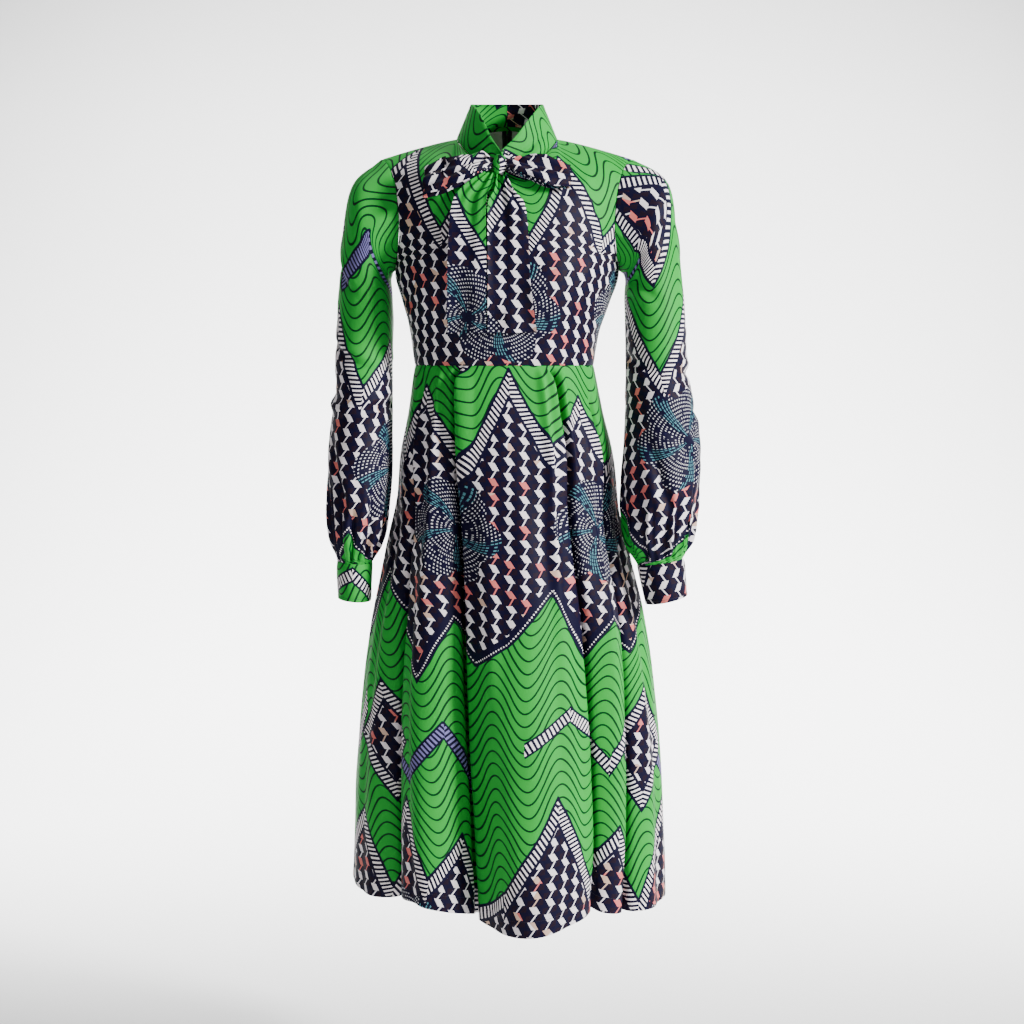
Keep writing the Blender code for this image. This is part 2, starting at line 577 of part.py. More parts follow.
def cuff_tube(name, side):
    """One cuff."""
    rows = CUFF_LEFT if side > 0 else CUFF_RIGHT
    turn = np.arange(CUFF_SEGMENTS) * 360.0 / CUFF_SEGMENTS
    outer = np.stack([section(row, turn, side) for row in rows])
    centres = np.stack([section_centre(row, side) for row in rows])[:, None, :]
    axes = np.stack([section_axis(row, side) for row in rows])[:, None, :]
    angle = np.radians(turn)
    direction = []
    for row in rows:
        wide = (row.out_x - row.in_x) / 2
        direction.append(np.stack([side * np.cos(angle) * row.half_y, -np.sin(angle) * wide,
                                   0 * angle], axis=-1))
    direction = unit(np.stack(direction))
    direction = unit(direction - axes * np.sum(direction * axes, axis=-1, keepdims=True))
    inner = outer - direction * DOUBLE_CLOTH
    for grid in (outer, inner):
        grid[0] += axes[0] * GAP / 2
    assert np.all(np.linalg.norm(outer - centres, axis=-1) > DOUBLE_CLOTH)
    return wall(name, outer, inner, GREEN, closed=True)


# ---- skirt panels ---------------------------------------------------------------------------
def skirt_grids(first, last):
    """Outer and inner points of one skirt panel between two seams, given by their turns."""
    steps = int(round((last - first) / 90.0 * SKIRT_STEPS_PER_QUARTER))
    turn, w = np.meshgrid(np.linspace(first, last, steps + 1), np.linspace(0.0, 1.0, SKIRT_ROWS + 1))
    outer = skirt(turn, w)
    inner = outer - skirt_normals(turn, w) * CLOTH
    for grid in (outer, inner):
        grid[0, :, 2] -= GAP / 2
        for edge in (0, -1):
            draw_back(grid, edge, "columns")
    return outer, inner


def back_turns(side):
    """Turns of the two seams of one back panel of the skirt."""
    return (SIDE_SEAM_TURN, 180) if side > 0 else (-180, -SIDE_SEAM_TURN)


# ---- bow ------------------------------------------------------------------------------------
def on_front(x, z):
    """Point and normal of the bodice front that is seen at x, z."""
    x, z = np.broadcast_arrays(np.asarray(x, float), np.asarray(z, float))
    u, v = x / SHOULDER_TIP[0], np.full(x.shape, 0.8)
    for _ in range(20):
        here = bodice(u, v, True)
        by_u = (bodice(u + STEP, v, True) - here) / STEP
        by_v = (bodice(u, v - STEP, True) - here) / -STEP
        miss_x, miss_z = x - here[..., 0], z - here[..., 2]
        bend = by_u[..., 0] * by_v[..., 2] - by_v[..., 0] * by_u[..., 2]
        bend = np.where(np.abs(bend) < 1e-6, 1e-6, bend)
        u = np.clip(u + 0.8 * (miss_x * by_v[..., 2] - miss_z * by_v[..., 0]) / bend, -0.98, 0.98)
        v = np.clip(v + 0.8 * (miss_z * by_u[..., 0] - miss_x * by_u[..., 2]) / bend, 0.02, 0.999)
    return bodice(u, v, True), bodice_normals(u, v, True)


def tail(name, rows):
    """One hanging end of the tie, laid on the bodice front."""
    down = np.linspace(0.0, 1.0, TAIL_ROWS + 1) ** 1.3
    z = rows[0].z + (rows[-1].z - rows[0].z) * down
    flipped = [row._replace(z=-row.z) for row in rows]
    left, right = (column(flipped, name_, -z) for name_ in ("x_from", "x_to"))
    share = np.linspace(0.0, 1.0, TAIL_COLUMNS + 1)[None, :]
    x = left[:, None] + (right - left)[:, None] * share
    point, away = on_front(x, np.broadcast_to(z[:, None], x.shape))
    inner = point + away * TAIL_OFF
    return wall(name, inner + away * TIE_CLOTH, inner, GREEN)


def loop_path(form):
    """Distance along the loop and height off the cloth: out in front, round the tip, back behind."""
    out = np.linspace(0.0, 1.0, LOOP_STEPS, endpoint=False)
    middle, half = (form.front + form.back) / 2, (form.front - form.back) / 2
    belly = np.sin(np.pi * np.minimum(out, 0.5))
    turn = np.radians(np.linspace(90.0, -90.0, LOOP_TURN_STEPS + 1))
    along = np.concatenate([out, 1.0 + 0.09 * np.cos(turn), out[::-1]])
    raise_ = np.concatenate([middle + half * (0.35 + 0.65 * belly), middle + half * np.sin(turn),
                             middle - half * (0.35 + 0.65 * belly[::-1])])
    return along, raise_


def bow_loop(name, form):
    """One loop of the bow: a strip that leaves the knot, turns over at its tip and comes back."""
    along, raise_ = loop_path(form)
    tangent = np.stack([np.gradient(along) * abs(form.tip_x - form.root_x), np.gradient(raise_)], axis=-1)
    tangent = unit(tangent)
    side = np.sign(form.tip_x - form.root_x)
    grids = []
    for inset in (0.0, TIE_CLOTH):
        run = along * (form.tip_x - form.root_x) - inset * tangent[:, 1] * -side
        lift = raise_ - inset * tangent[:, 0]
        place = np.clip(along, 0.0, 1.0)
        height = form.root_height + (form.tip_height - form.root_height) * smooth(place * 1.25)
        across = np.linspace(0.5, -0.5, LOOP_ROWS + 1)[:, None] * height[None, :]
        x = np.broadcast_to(form.root_x + run, across.shape)
        z = form.root_z + (form.tip_z - form.root_z) * along[None, :] + across
        point, away = on_front(x, z)
        grids.append(point + away * lift[None, :, None])
    return wall(name, grids[0], grids[1], NAVY)


def knot(name):
    """The knot of the bow, a rounded block."""
    point, away = on_front(np.array([KNOT_X]), np.array([KNOT_Z - KNOT_HALF[2] / 2]))
    bm = bmesh.new()
    bmesh.ops.create_uvsphere(bm, u_segments=14, v_segments=8, radius=1.0)
    bmesh.ops.scale(bm, vec=Vector(KNOT_HALF), verts=bm.verts)
    centre = point[0] + away[0] * KNOT_RAISE
    bmesh.ops.translate(bm, vec=Vector((KNOT_X, centre[1], KNOT_Z)), verts=bm.verts)
    mesh = bpy.data.meshes.new(name)
    bm.to_mesh(mesh)
    bm.free()
    return add_object(name, mesh, GREEN)


# ---- facing and zip -------------------------------------------------------------------------
def from_centre(grids, side):
    """Back panel's inner points and outward directions, columns counted from the centre back."""
    outer, inner = grids if side > 0 else (grid[:, ::-1] for grid in grids)
    return inner, unit(outer - inner)


def beside_centre(grid, inner, distance):
    """Values of a grid's first two columns at a distance from the centre back."""
    share = distance / np.linalg.norm(inner[:, 1] - inner[:, 0], axis=-1, keepdims=True)
    return grid[:, 0] * (1.0 - share) + grid[:, 1] * share


def below_neck_seam(grid):
    """Grid whose last row is brought down, clear of the neck seam."""
    last = grid[-2] * (1.0 - INNER_TOP) + grid[-1] * INNER_TOP
    return np.concatenate([grid[:-1], last[None]])


def inside_wall(name, point, away, colour):
    """Thin wall laid against the inner side of a panel."""
    away = unit(away)
    outer = point - away * INNER_OFF
    return wall(name, outer, outer - away * TAPE, colour)


def facing(name, side):
    """Pale facing inside the back neck, from beside the zip to the shoulder seam."""
    inner, away = from_centre(bodice_grids(back_columns(side), False), side)
    layers = []
    for grid in (inner, away):
        first = beside_centre(grid, inner, FACING_NEAR)
        last = grid[:, NECK_STEPS - 1] * 0.2 + grid[:, NECK_STEPS] * 0.8
        whole = np.concatenate([first[:, None], grid[:, 1:NECK_STEPS], last[:, None]], axis=1)
        layers.append(below_neck_seam(whole)[-FACING_BODICE_ROWS - 1:])
    return inside_wall(name, *layers, PALE)


def zip_tape(name, side):
    """One tape of the back zip, from the neck over the waist to the hip."""
    upper, upper_away = from_centre(bodice_grids(back_columns(side), False), side)
    lower, lower_away = from_centre(skirt_grids(*back_turns(side)), -side)
    layers = []
    for grid, below in ((upper, lower), (upper_away, lower_away)):
        sides = []
        for distance in (TAPE_NEAR, TAPE_FAR):
            high = below_neck_seam(beside_centre(grid, upper, distance))[::-1]
            low = beside_centre(below, lower, distance)[1:TAPE_SKIRT_ROWS + 1]
            sides.append(np.concatenate([high, low]))
        layers.append(np.stack(sides, axis=1))
    return inside_wall(name, *layers, BLACK)


def slider_frame():
    """Place, sideways, downwards and outwards directions of the zip slider."""
    u, v = np.zeros(1), np.full(1, SLIDER_V)
    place = bodice(u, v, False)[0]
    out = bodice_normals(u, v, False)[0]
    sideways = np.array([1.0, 0.0, 0.0])
    down = np.cross(sideways, out)
    down = down * -np.sign(down[2])
    return place, sideways, unit(down), out


def prism(name, outline, width, frame, colour):
    """Closed prism: an outline in the downwards-outwards plane, extruded sideways."""
    origin, sideways, down, out = frame
    bm = bmesh.new()
    rings = []
    for x in (-width / 2, width / 2):
        rings.append([bm.verts.new(Vector(sideways * x + down * d + out * h)) for d, h in outline])
    bm.faces.new(rings[0])
    bm.faces.new(rings[1])
    for i in range(len(outline)):
        k = (i + 1) % len(outline)
        bm.faces.new((rings[0][i], rings[0][k], rings[1][k], rings[1][i]))
    bmesh.ops.recalc_face_normals(bm, faces=bm.faces)
    mesh = bpy.data.meshes.new(name)
    bm.to_mesh(mesh)
    bm.free()
    thing = add_object(name, mesh, colour, roughness=0.35, metallic=0.9)
    thing.location = Vector(origin)
    return thing


def unite(target, other):
    """Join another solid into the target."""
    union = target.modifiers.new("union", "BOOLEAN")
    union.operation = "UNION"
    union.object = other
    other.hide_render = True
    other.display_type = "WIRE"


def cut(target, other):
    """Take another solid out of the target."""
    difference = target.modifiers.new("cut", "BOOLEAN")
    difference.operation = "DIFFERENCE"
    difference.object = other
    other.hide_render = True
    other.display_type = "WIRE"


def zip_slider_and_pull():
    """Slider on the back seam with a bridge, and the pull whose bar turns in that bridge."""
    place, sideways, down, out = slider_frame()
    wide, long, thick = SLIDER_SIZE
    lift = GAP + 0.0004
    base = (place + out * lift, sideways, down, out)
    box = [(-long / 2, 0.0), (long / 2, 0.0), (long / 2, thick), (-long / 2, thick)]
    slider = prism("zip_slider", box, wide, base, STEEL)
    axis_height = thick + 0.0003 + BRIDGE_INNER * 0.9
    turns = np.linspace(0.0, np.pi, BRIDGE_SEGMENTS + 1)
    arch = [(BRIDGE_OUTER * np.cos(a), axis_height + BRIDGE_OUTER * np.sin(a)) for a in turns]
    arch += [(-BRIDGE_OUTER, thick / 2), (BRIDGE_OUTER, thick / 2)]
    unite(slider, prism("bridge", arch, BRIDGE_WIDTH, base, STEEL))
    window = [(BRIDGE_INNER * np.cos(a), axis_height + BRIDGE_INNER * np.sin(a)) for a in turns]
    window += [(-BRIDGE_INNER, thick), (BRIDGE_INNER, thick)]
    cut(slider, prism("window", window, 2 * BRIDGE_WIDTH, base, STEEL))

    hinge = place + out * (lift + axis_height)
    frame = (hinge, sideways, down, out)
    angles = np.arange(PIN_SEGMENTS) * 2 * np.pi / PIN_SEGMENTS
    bar = [(PIN_RADIUS * np.cos(a), PIN_RADIUS * np.sin(a)) for a in angles]
    half = PULL_THICK / 2
    plate = [(-PIN_RADIUS, -half), (PULL_LENGTH, -half), (PULL_LENGTH, half), (-PIN_RADIUS, half)]
    pull = prism("zip_pull", plate, PULL_WIDTH, frame, STEEL)
    hole_wide = PULL_WIDTH - 2 * PULL_RAIL
    hole = [(-0.01, -0.01), (PULL_RING, -0.01), (PULL_RING, 0.01), (-0.01, 0.01)]
    cut(pull, prism("pull_hole", hole, hole_wide, frame, STEEL))
    unite(pull, prism("pull_bar", bar, PULL_WIDTH - PULL_RAIL, frame, STEEL))
    return tuple(hinge)


def build():
    """Make every piece of the dress."""
    for thing in list(bpy.data.objects):
        bpy.data.objects.remove(thing, do_unlink=True)
    half = half_columns()
    wall("bodice_front", *bodice_grids(np.concatenate([-half[:0:-1], half]), True), GREEN)
    wall("skirt_front", *skirt_grids(-SIDE_SEAM_TURN, SIDE_SEAM_TURN), GREEN)
    for name, side in (("right", -1.0), ("left", 1.0)):
        wall("bodice_back_" + name, *bodice_grids(back_columns(side), False), GREEN)
        wall("skirt_back_" + name, *skirt_grids(*back_turns(side)), GREEN)
        collar_half("collar_" + name, side)
        sleeve_tube("sleeve_" + name, side)
        cuff_tube("cuff_" + name, side)
        facing("back_facing_" + name, side)
        zip_tape("zip_tape_" + name, side)
    tail("bow_tail_right", TAIL_RIGHT)
    tail("bow_tail_left", TAIL_LEFT)
    bow_loop("bow_loop_right", LOOP_RIGHT)
    bow_loop("bow_loop_left", LOOP_LEFT)
    knot("bow_knot")
    zip_slider_and_pull()


build()
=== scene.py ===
"""Looks of a wax-print cotton midi dress: funnel collar with a tied bow, bishop sleeves, flared skirt.

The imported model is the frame.  Every piece of cloth here is a thin shell on the form of its node,
with its own creases, and its print is drawn in the flat cloth's own metres.
"""
import logging
import math
from dataclasses import dataclass, field
from enum import Enum
from typing import Callable, Sequence, Union

import bmesh
import bpy
import numpy as np
from mathutils import Matrix, Vector


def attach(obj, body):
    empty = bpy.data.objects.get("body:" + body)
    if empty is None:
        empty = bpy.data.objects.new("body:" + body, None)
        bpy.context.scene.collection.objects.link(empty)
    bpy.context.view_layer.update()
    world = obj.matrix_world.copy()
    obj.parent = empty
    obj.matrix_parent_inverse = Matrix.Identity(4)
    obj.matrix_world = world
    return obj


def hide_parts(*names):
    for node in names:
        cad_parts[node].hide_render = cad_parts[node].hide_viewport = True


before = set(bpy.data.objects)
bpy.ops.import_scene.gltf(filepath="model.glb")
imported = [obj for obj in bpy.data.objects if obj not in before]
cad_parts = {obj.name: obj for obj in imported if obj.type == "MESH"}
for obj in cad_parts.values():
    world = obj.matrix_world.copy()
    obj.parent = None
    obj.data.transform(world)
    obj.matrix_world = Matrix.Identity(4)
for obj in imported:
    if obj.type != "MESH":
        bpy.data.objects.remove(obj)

LOG = logging.getLogger("dress")
Array = np.ndarray
Object = bpy.types.Object
Material = bpy.types.Material
Pair = tuple[float, float]
Triple = Colour = tuple[float, float, float]

CLOTH_THICKNESS = 0.0009    # metres, as the next seven are
DOUBLE_THICKNESS = 0.0016   # collar and cuffs
TIE_THICKNESS = 0.0013      # bow
SEAM_GAP = 0.0003           # left open between two sheets
SEAM_DIP = 0.0007           # cloth sinks so far at a seam
HEM = 0.022                 # its row of stitches above the edge
CUFF_STITCH = 0.004         # the same on a cuff
DRESS_CENTRE = -0.535       # height of its middle
SEAM_TURN = 180.0           # degrees round a sleeve where its own seam lies, underneath
BACK_TURN = 180.0           # degrees round the skirt to the centre back
ZIP_V = 0.981               # level of the back bodice where the zip and the facing begin
UV_NAME = "cloth"
SLOPE_RANGE = 8.0           # a ramp of slopes holds -4 to 4
WEAVE = 9000.0              # waves of yarn, radians in a metre
WEAVE_HEIGHT = 0.00012      # metres of relief
STEP = 1e-4                 # of a parameter, for slopes
CLOSE = 1e-4                # metres that count as none
TURN_SCALE = 100.0          # degrees to one unit of a parameter from 0 to 1
SKIRT_AXIS = np.array([0.0, 0.02, 0.0])    # any point of the line down its middle
LEVEL = np.array([1.0, 1.0, 0.0])          # leaves only the level part of a vector
SEAM_REACH = 0.0022         # metres of cloth over which it dips
CREASE_RIDGE = 0.35         # height of the ridge beside a trough, as a share of its depth
CREASE_RIDGE_AT = 1.9       # its distance in widths
TROUGH_RUN = 0.8            # power with which a fold of the skirt drifts on its way down
RIM = 0.3                   # of the thickness, how far a folded edge stands out
SHARP = 40                  # degrees between faces of cloth that stay a sharp edge
SMOOTH = 50                 # the same on stitches, zip coil and floor
DRESS = "dress"


class Side(Enum):
    """The wearer's side of a piece; its value is the sign of x."""
    RIGHT = -1.0
    LEFT = 1.0

    @property
    def label(self) -> str:
        """Lower-case word used in names."""
        return self.name.lower()


class Panel(Enum):
    """Whether a stretch of bodice is on the front or on the back."""
    FRONT = "front"
    BACK = "back"


class Held(Enum):
    """How a sheet of cloth is held."""
    HUNG = "hung"
    GATHERED = "gathered"
    FOLDED = "folded"
    STRETCHED = "stretched"
    LAID = "laid"


# ---- numbers --------------------------------------------------------------------------------
def smooth(t: Array) -> Array:
    """Ease from 0 to 1."""
    t = np.clip(t, 0.0, 1.0)
    return t * t * (3.0 - 2.0 * t)


def bell(distance: Array, width: float) -> Array:
    """Bell curve, 1 at no distance."""
    return np.exp(-(distance / width)**2)


def hermite(t: Array, start: Array, end: Array, start_run: Array, end_run: Array) -> Array:
    """Cubic between two values."""
    return ((2 * t**3 - 3 * t**2 + 1) * start + (t**3 - 2 * t**2 + t) * start_run
            + (3 * t**2 - 2 * t**3) * end + (t**3 - t**2) * end_run)


def column(rows: Sequence[object], key: str, name: str, at: Array) -> Array:
    """Monotone cubic through one field of a table.

    Args:
        rows: Table rows in the order of their key.
        key: Field that holds the position.
        name: Field that is read.
        at: Positions to read at.

    Returns:
        Values of the field.
    """
    xs = np.array([getattr(row, key) for row in rows], float)
    ys = np.array([getattr(row, name) for row in rows], float)
    at = np.clip(np.asarray(at, float), xs[0], xs[-1])
    run = np.diff(xs)
    slope = np.diff(ys) / run
    tangent = np.zeros_like(ys)
    tangent[0], tangent[-1] = slope[0], slope[-1]
    for i in range(1, len(xs) - 1):
        if slope[i - 1] * slope[i] > 0:
            before = 2 * run[i] + run[i - 1]
            after = run[i] + 2 * run[i - 1]
            tangent[i] = (before + after) / (before / slope[i - 1] + after / slope[i])
    i = np.clip(np.searchsorted(xs, at, side="right") - 1, 0, len(run) - 1)
    return hermite((at - xs[i]) / run[i], ys[i], ys[i + 1], run[i] * tangent[i], run[i] * tangent[i + 1])


def table(kind: type, *values: tuple) -> tuple:
    """A table of one kind of row from the values of each."""
    return tuple(kind(*row) for row in values)


def by_side(right: object, left: object) -> dict[Side, object]:
    """Field of a dataclass with one value for each side."""
    return field(default_factory=lambda: {Side.RIGHT: right, Side.LEFT: left})


def stacked(*parts: Array) -> Array:
    """Arrays as the entries of one more axis, the last."""
    return np.stack(parts, axis=-1)


def together(*values: Union[Array, float]) -> list[Array]:
    """Values as float arrays of one shape."""
    return np.broadcast_arrays(*(np.asarray(value, float) for value in values))


def unit(vectors: Array) -> Array:
    """Vectors of length one."""
    return vectors / np.maximum(np.linalg.norm(vectors, axis=-1, keepdims=True), 1e-12)


def square_to(axis: Array, vectors: Array) -> Array:
    """Unit vectors square to an axis of length one."""
    return unit(vectors - axis * np.sum(vectors * axis, axis=-1, keepdims=True))


def turn_between(turn: Array, centre: Union[float, Array]) -> Array:
    """Signed angle from a centre to a turn."""
    return (turn - centre + 180.0) % 360.0 - 180.0


def surface_normals(face: Callable[[Array, Array], Array], a: Array, b: Array,
                    outward: Callable[[Array], Array], scale: float = 1.0) -> Array:
    """Unit normals of face(a, b).

    Args:
        face: Surface of two parameters.
        a: First parameter.
        b: Second parameter.
        outward: Gives a direction on the outer side for points.
        scale: Size of the first parameter beside the second.

    Returns:
        Normals on the outer side.
    """
    def at(p: Array, q: Array) -> Array:
        """The surface with both parameters of a size."""
        return face(p * scale, q)
    a = a / scale
    along_a = at(a + STEP, b) - at(a - STEP, b)
    along_b = at(a, b + STEP) - at(a, b - STEP)
    found = unit(np.cross(along_a, along_b))
    side = np.sign(np.sum(found * outward(at(a, b)), axis=-1, keepdims=True))
    return found * np.where(side == 0, 1.0, side)


def spread(first: float, last: float, steps: int, edge: float) -> Array:
    """Evenly spaced places with two more close to each end, for a soft seam edge.

    Args:
        first: First place.
        last: Last place.
        steps: Even steps between them.
        edge: Distance of the closest extra place from its end.

    Returns:
        Places from first to last.
    """
    even = np.linspace(first, last, steps + 1)
    near = np.sign(last - first) * np.array([edge, 2.6 * edge])
    return np.sort(np.concatenate([even, first + near, last - near]))[::1 if last > first else -1]


def flat_cloth(points: Array, middle: int) -> Array:
    """Flat-cloth coordinates of a grid, in metres.

    Args:
        points: Grid of points, rows first.
        middle: Column that lies on the straight grain.

    Returns:
        Grid of (across from the middle column, down from the first row).
    """
    across = np.linalg.norm(np.diff(points, axis=1), axis=-1)
    across = np.concatenate([np.zeros((len(points), 1)), np.cumsum(across, axis=1)], axis=1)
    across = across - across[:, middle:middle + 1]
    down = np.linalg.norm(np.diff(points, axis=0), axis=-1).mean(axis=1)
    down = np.concatenate([[0.0], np.cumsum(down)])
    return stacked(across, np.broadcast_to(down[:, None], across.shape))


# ---- creases --------------------------------------------------------------------------------
@dataclass(frozen=True)
class Crease:
    """A soft trough (depth below 0) or ridge (above 0) at a place on the flat cloth, in metres.

    turn is its slant from straight down, in degrees towards +x, and bow bends its middle sideways.
    """
    x: float
    y: float
    turn: float
    length: float
    width: float
    depth: float
    bow: float = 0.0

    def height(self, cloth: Array) -> Array:
        """Height of this crease over flat cloth.

        Args:
            cloth: Grid of (across, down).

        Returns:
            Heights in metres.
        """
        angle = math.radians(self.turn)
        dx, dy = cloth[..., 0] - self.x, cloth[..., 1] - self.y
        along = (dx * math.sin(angle) + dy * math.cos(angle)) / self.length
        off = dx * math.cos(angle) - dy * math.sin(angle) - self.bow * along**2
        fade = np.exp(-np.abs(2.0 * along)**3.0)
        raised = CREASE_RIDGE * bell(off - CREASE_RIDGE_AT * self.width, self.width)
        return self.depth * fade * (bell(off, self.width) - raised)


@dataclass(frozen=True)
class Wrinkles:
    """Small uneven waves over a whole piece; lean 90 sets their crests straight down."""
    seed: int
    height: float = 0.0005
    shortest: float = 0.030
    longest: float = 0.12
    lean: float = 90.0
    scatter: float = 35.0
    count: int = 14

    def relief(self, cloth: Array) -> Array:
        """Heights over flat cloth.

        Args:
            cloth: Grid of (across, down).

        Returns:
            Heights in metres.
        """
        draw = np.random.default_rng(self.seed)
        x, y = cloth[..., 0], cloth[..., 1]
        total = np.zeros(x.shape)
        for _ in range(self.count):
            wave = draw.uniform(self.shortest, self.longest)
            turn = math.radians(self.lean - 90.0 + draw.normal(0.0, self.scatter))
            phase, swing = draw.uniform(0.0, math.tau, 2)
            carry = x * math.cos(turn) + y * math.sin(turn)
            patch = 0.5 + 0.5 * np.sin((y * math.cos(turn) - x * math.sin(turn)) / (0.55 * wave) + swing)
            total = total + np.cos(math.tau * carry / wave + phase) * patch * wave / self.longest
        return self.height * total


# ---- shells ---------------------------------------------------------------------------------
@dataclass
class ClothShell:
    """A thin closed shell of cloth, for one node, from a grid of points on its outer face."""
    node: str
    outer: Array
    away: Array
    cloth: Array
    tube: bool = False
    thickness: float = CLOTH_THICKNESS

    def make(self, material: Material, print_at: Pair) -> Object:
        """Build the mesh, its folded edges and its flat-cloth UV map.

        Args:
            material: Finish of the shell.
            print_at: Place of the grid's own zero on the printed cloth, in metres.

        Returns:
            The new object.
        """
        rows, columns = self.outer.shape[:2]
        wide = columns - 1 if self.tube else columns
        faces = [self.outer[:, :wide], (self.outer - self.away * self.thickness)[:, :wide]]
        middle = (faces[0] + faces[1]) / 2
        number = np.arange(rows * wide).reshape(rows, wide)[:, np.arange(columns) % wide]
        corners = [np.dstack([number + layer * rows * wide, self.cloth + np.array(print_at)])
                   for layer in (0, 1)]
        cross = np.cross(self.outer[0, 1] - self.outer[0, 0], self.outer[1, 0] - self.outer[0, 0])
        facing_out = float(np.dot(cross, self.away[0, 0])) > 0
        points, quads = [face.reshape(-1, 3) for face in faces], []

        def add(layer: int, *around: Array) -> None:
            """Add quads from their four corners, each a point's number and its flat place."""
            quad = np.stack([corner.reshape(-1, 3) for corner in around], axis=1)
            quads.append(quad if facing_out == (layer == 0) else quad[:, ::-1])
        for layer, grid in enumerate(corners):
            add(layer, grid[:-1, :-1], grid[:-1, 1:], grid[1:, 1:], grid[1:, :-1])
        for loop in self.edge_loops(rows, columns):
            j, i = loop.T
            within = middle[np.clip(j, 1, rows - 2), i % wide if self.tube else np.clip(i, 1, wide - 2)]
            edge = middle[j, i % wide]
            first = sum(map(len, points))
            points.append(edge + unit(edge - within) * self.thickness * RIM)
            for layer, grid in enumerate(corners):
                place, rim = grid[j, i], grid[j, i]
                rim[:, 0] = first + np.arange(len(loop))
                add(layer, np.roll(place, -1, axis=0), place, rim, np.roll(rim, -1, axis=0))
        quad = np.concatenate(quads)
        name = self.node + "_cloth"
        mesh = bpy.data.meshes.new(name)
        mesh.from_pydata(np.concatenate(points).tolist(), [], quad[..., 0].astype(int).tolist())
        layer = mesh.uv_layers.new(name=UV_NAME)
        layer.data.foreach_set("uv", quad[..., 1:].astype(np.float32).ravel())
        mesh.shade_smooth()
        mesh.set_sharp_from_angle(angle=math.radians(SHARP))
        mesh.materials.append(material)
        mesh.validate()
        thing = bpy.data.objects.new(name, mesh)
        bpy.context.scene.collection.objects.link(thing)
        return thing

    def edge_loops(self, rows: int, columns: int) -> list[Array]:
        """Grid places along each free edge, in order.

        Args:
            rows: Rows of the grid.
            columns: Columns of the grid.

        Returns:
            One array of (row, column) for each closed edge.
        """
        across, down = np.arange(columns - 1), np.arange(rows - 1)
        top = stacked(0 * across, across)
        bottom = stacked(0 * across + rows - 1, columns - 1 - across)
        if self.tube:
            return [top, bottom]
        right = stacked(down, 0 * down + columns - 1)
        left = stacked(rows - 1 - down, 0 * down)
        return [np.concatenate([top, right, bottom, left])]

    def line_at(self, level: Array, at: float, across: bool) -> tuple[Array, Array]:
        """Where a level passes a value on the outer face.

        Args:
            level: Value at each grid place, steady along the grid lines.
            at: Value that is looked for.
            across: Whether it is looked for along each row, not down each column.

        Returns:
            Points and normals, one on each grid line.
        """
        level, outer, away = ((grid.swapaxes(0, 1) if across else grid)
                              for grid in (level, self.outer, self.away))
        over = level > at
        j = np.argmax(over != over[:1], axis=0)[None, :]
        before, after = (np.take_along_axis(level, k, 0) for k in (j - 1, j))
        share = ((at - before) / (after - before))[..., None]
        found = []
        for grid in (outer, away):
            low, high = (np.take_along_axis(grid, k[..., None], 0) for k in (j - 1, j))
            found.append((low + (high - low) * share)[0])
        return found[0], unit(found[1])

    def flat_size(self) -> Triple:
        """Size of the cut, from the longest row, the longest column and the folds of the outer face.

        Returns:
            Width, length and area.
        """
        a = self.outer[1:, 1:] - self.outer[:-1, :-1]
        b = self.outer[1:, :-1] - self.outer[:-1, 1:]
        area = float(np.linalg.norm(np.cross(a, b), axis=-1).sum() / 2)
        width, length = (float(np.linalg.norm(np.diff(self.outer, axis=axis), axis=-1).sum(axis=axis).max())
                         for axis in (1, 0))
        return width, length, min(area, width * length)


def settle_edges(grid: Array, edges: Sequence[tuple[int, str]]) -> None:
    """Draw edges of a grid back by half a seam gap, in place.

    Args:
        grid: Grid of points.
        edges: Which edges, as (0 or -1, "rows" or "columns").
    """
    for edge, along in edges:
        rows = grid if along == "rows" else np.swapaxes(grid, 0, 1)
        inside = 1 if edge == 0 else -2
        rows[edge] += unit(rows[inside] - rows[edge]) * SEAM_GAP / 2


def seam_dip(distance: Array) -> Array:
    """How far cloth dips beside a seam."""
    return -SEAM_DIP * np.exp(-distance / SEAM_REACH)


@dataclass
class Wardrobe:
    """Gives finished pieces to the frame and reports them."""
    wax_print: Material
    made: list[str] = field(default_factory=list)
    shells: dict[str, ClothShell] = field(default_factory=dict)

    def sheet(self, shell: ClothShell, held: Held, rests_on: Sequence[str], print_at: Pair,
              material: Material = None) -> None:
        """Make the sheet of cloth that stands for a shell's node.

        Args:
            shell: Its form.
            held: How it is held; not used.
            rests_on: Nodes that carry it.
            print_at: Place of its zero on the printed cloth.
            material: Finish, or the wax print.
        """
        piece = shell.make(material or self.wax_print, print_at)
        self.shells[shell.node] = shell
        width, length, area = shell.flat_size()
        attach(piece, DRESS)
        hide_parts(shell.node)
        list(rests_on)
        LOG.info("%s: flat %.3f x %.3f m, %.4f m2, %d faces", piece.name, width, length, area,
                 len(piece.data.polygons))
        self.made.append(piece.name)

    def trim(self, piece: Object) -> None:
        """Give a small piece to the frame.

        Args:
            piece: The piece.
        """
        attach(piece, DRESS)
        LOG.info("%s: %d faces", piece.name, len(piece.data.polygons))
        self.made.append(piece.name)


# ---- shader maths ---------------------------------------------------------------------------
def math_method(operation: str, swapped: bool = False) -> Callable[..., "Term"]:
    """Make a method of Term that adds a Math node.

    Args:
        operation: What the node does.
        swapped: Whether the other value comes first.

    Returns:
        The method.
    """
    def method(self: "Term", *others: "Value") -> "Term":
        """Result of the node."""
        return self.graph.math(operation, *((*others, self) if swapped else (self, *others)))
    return method


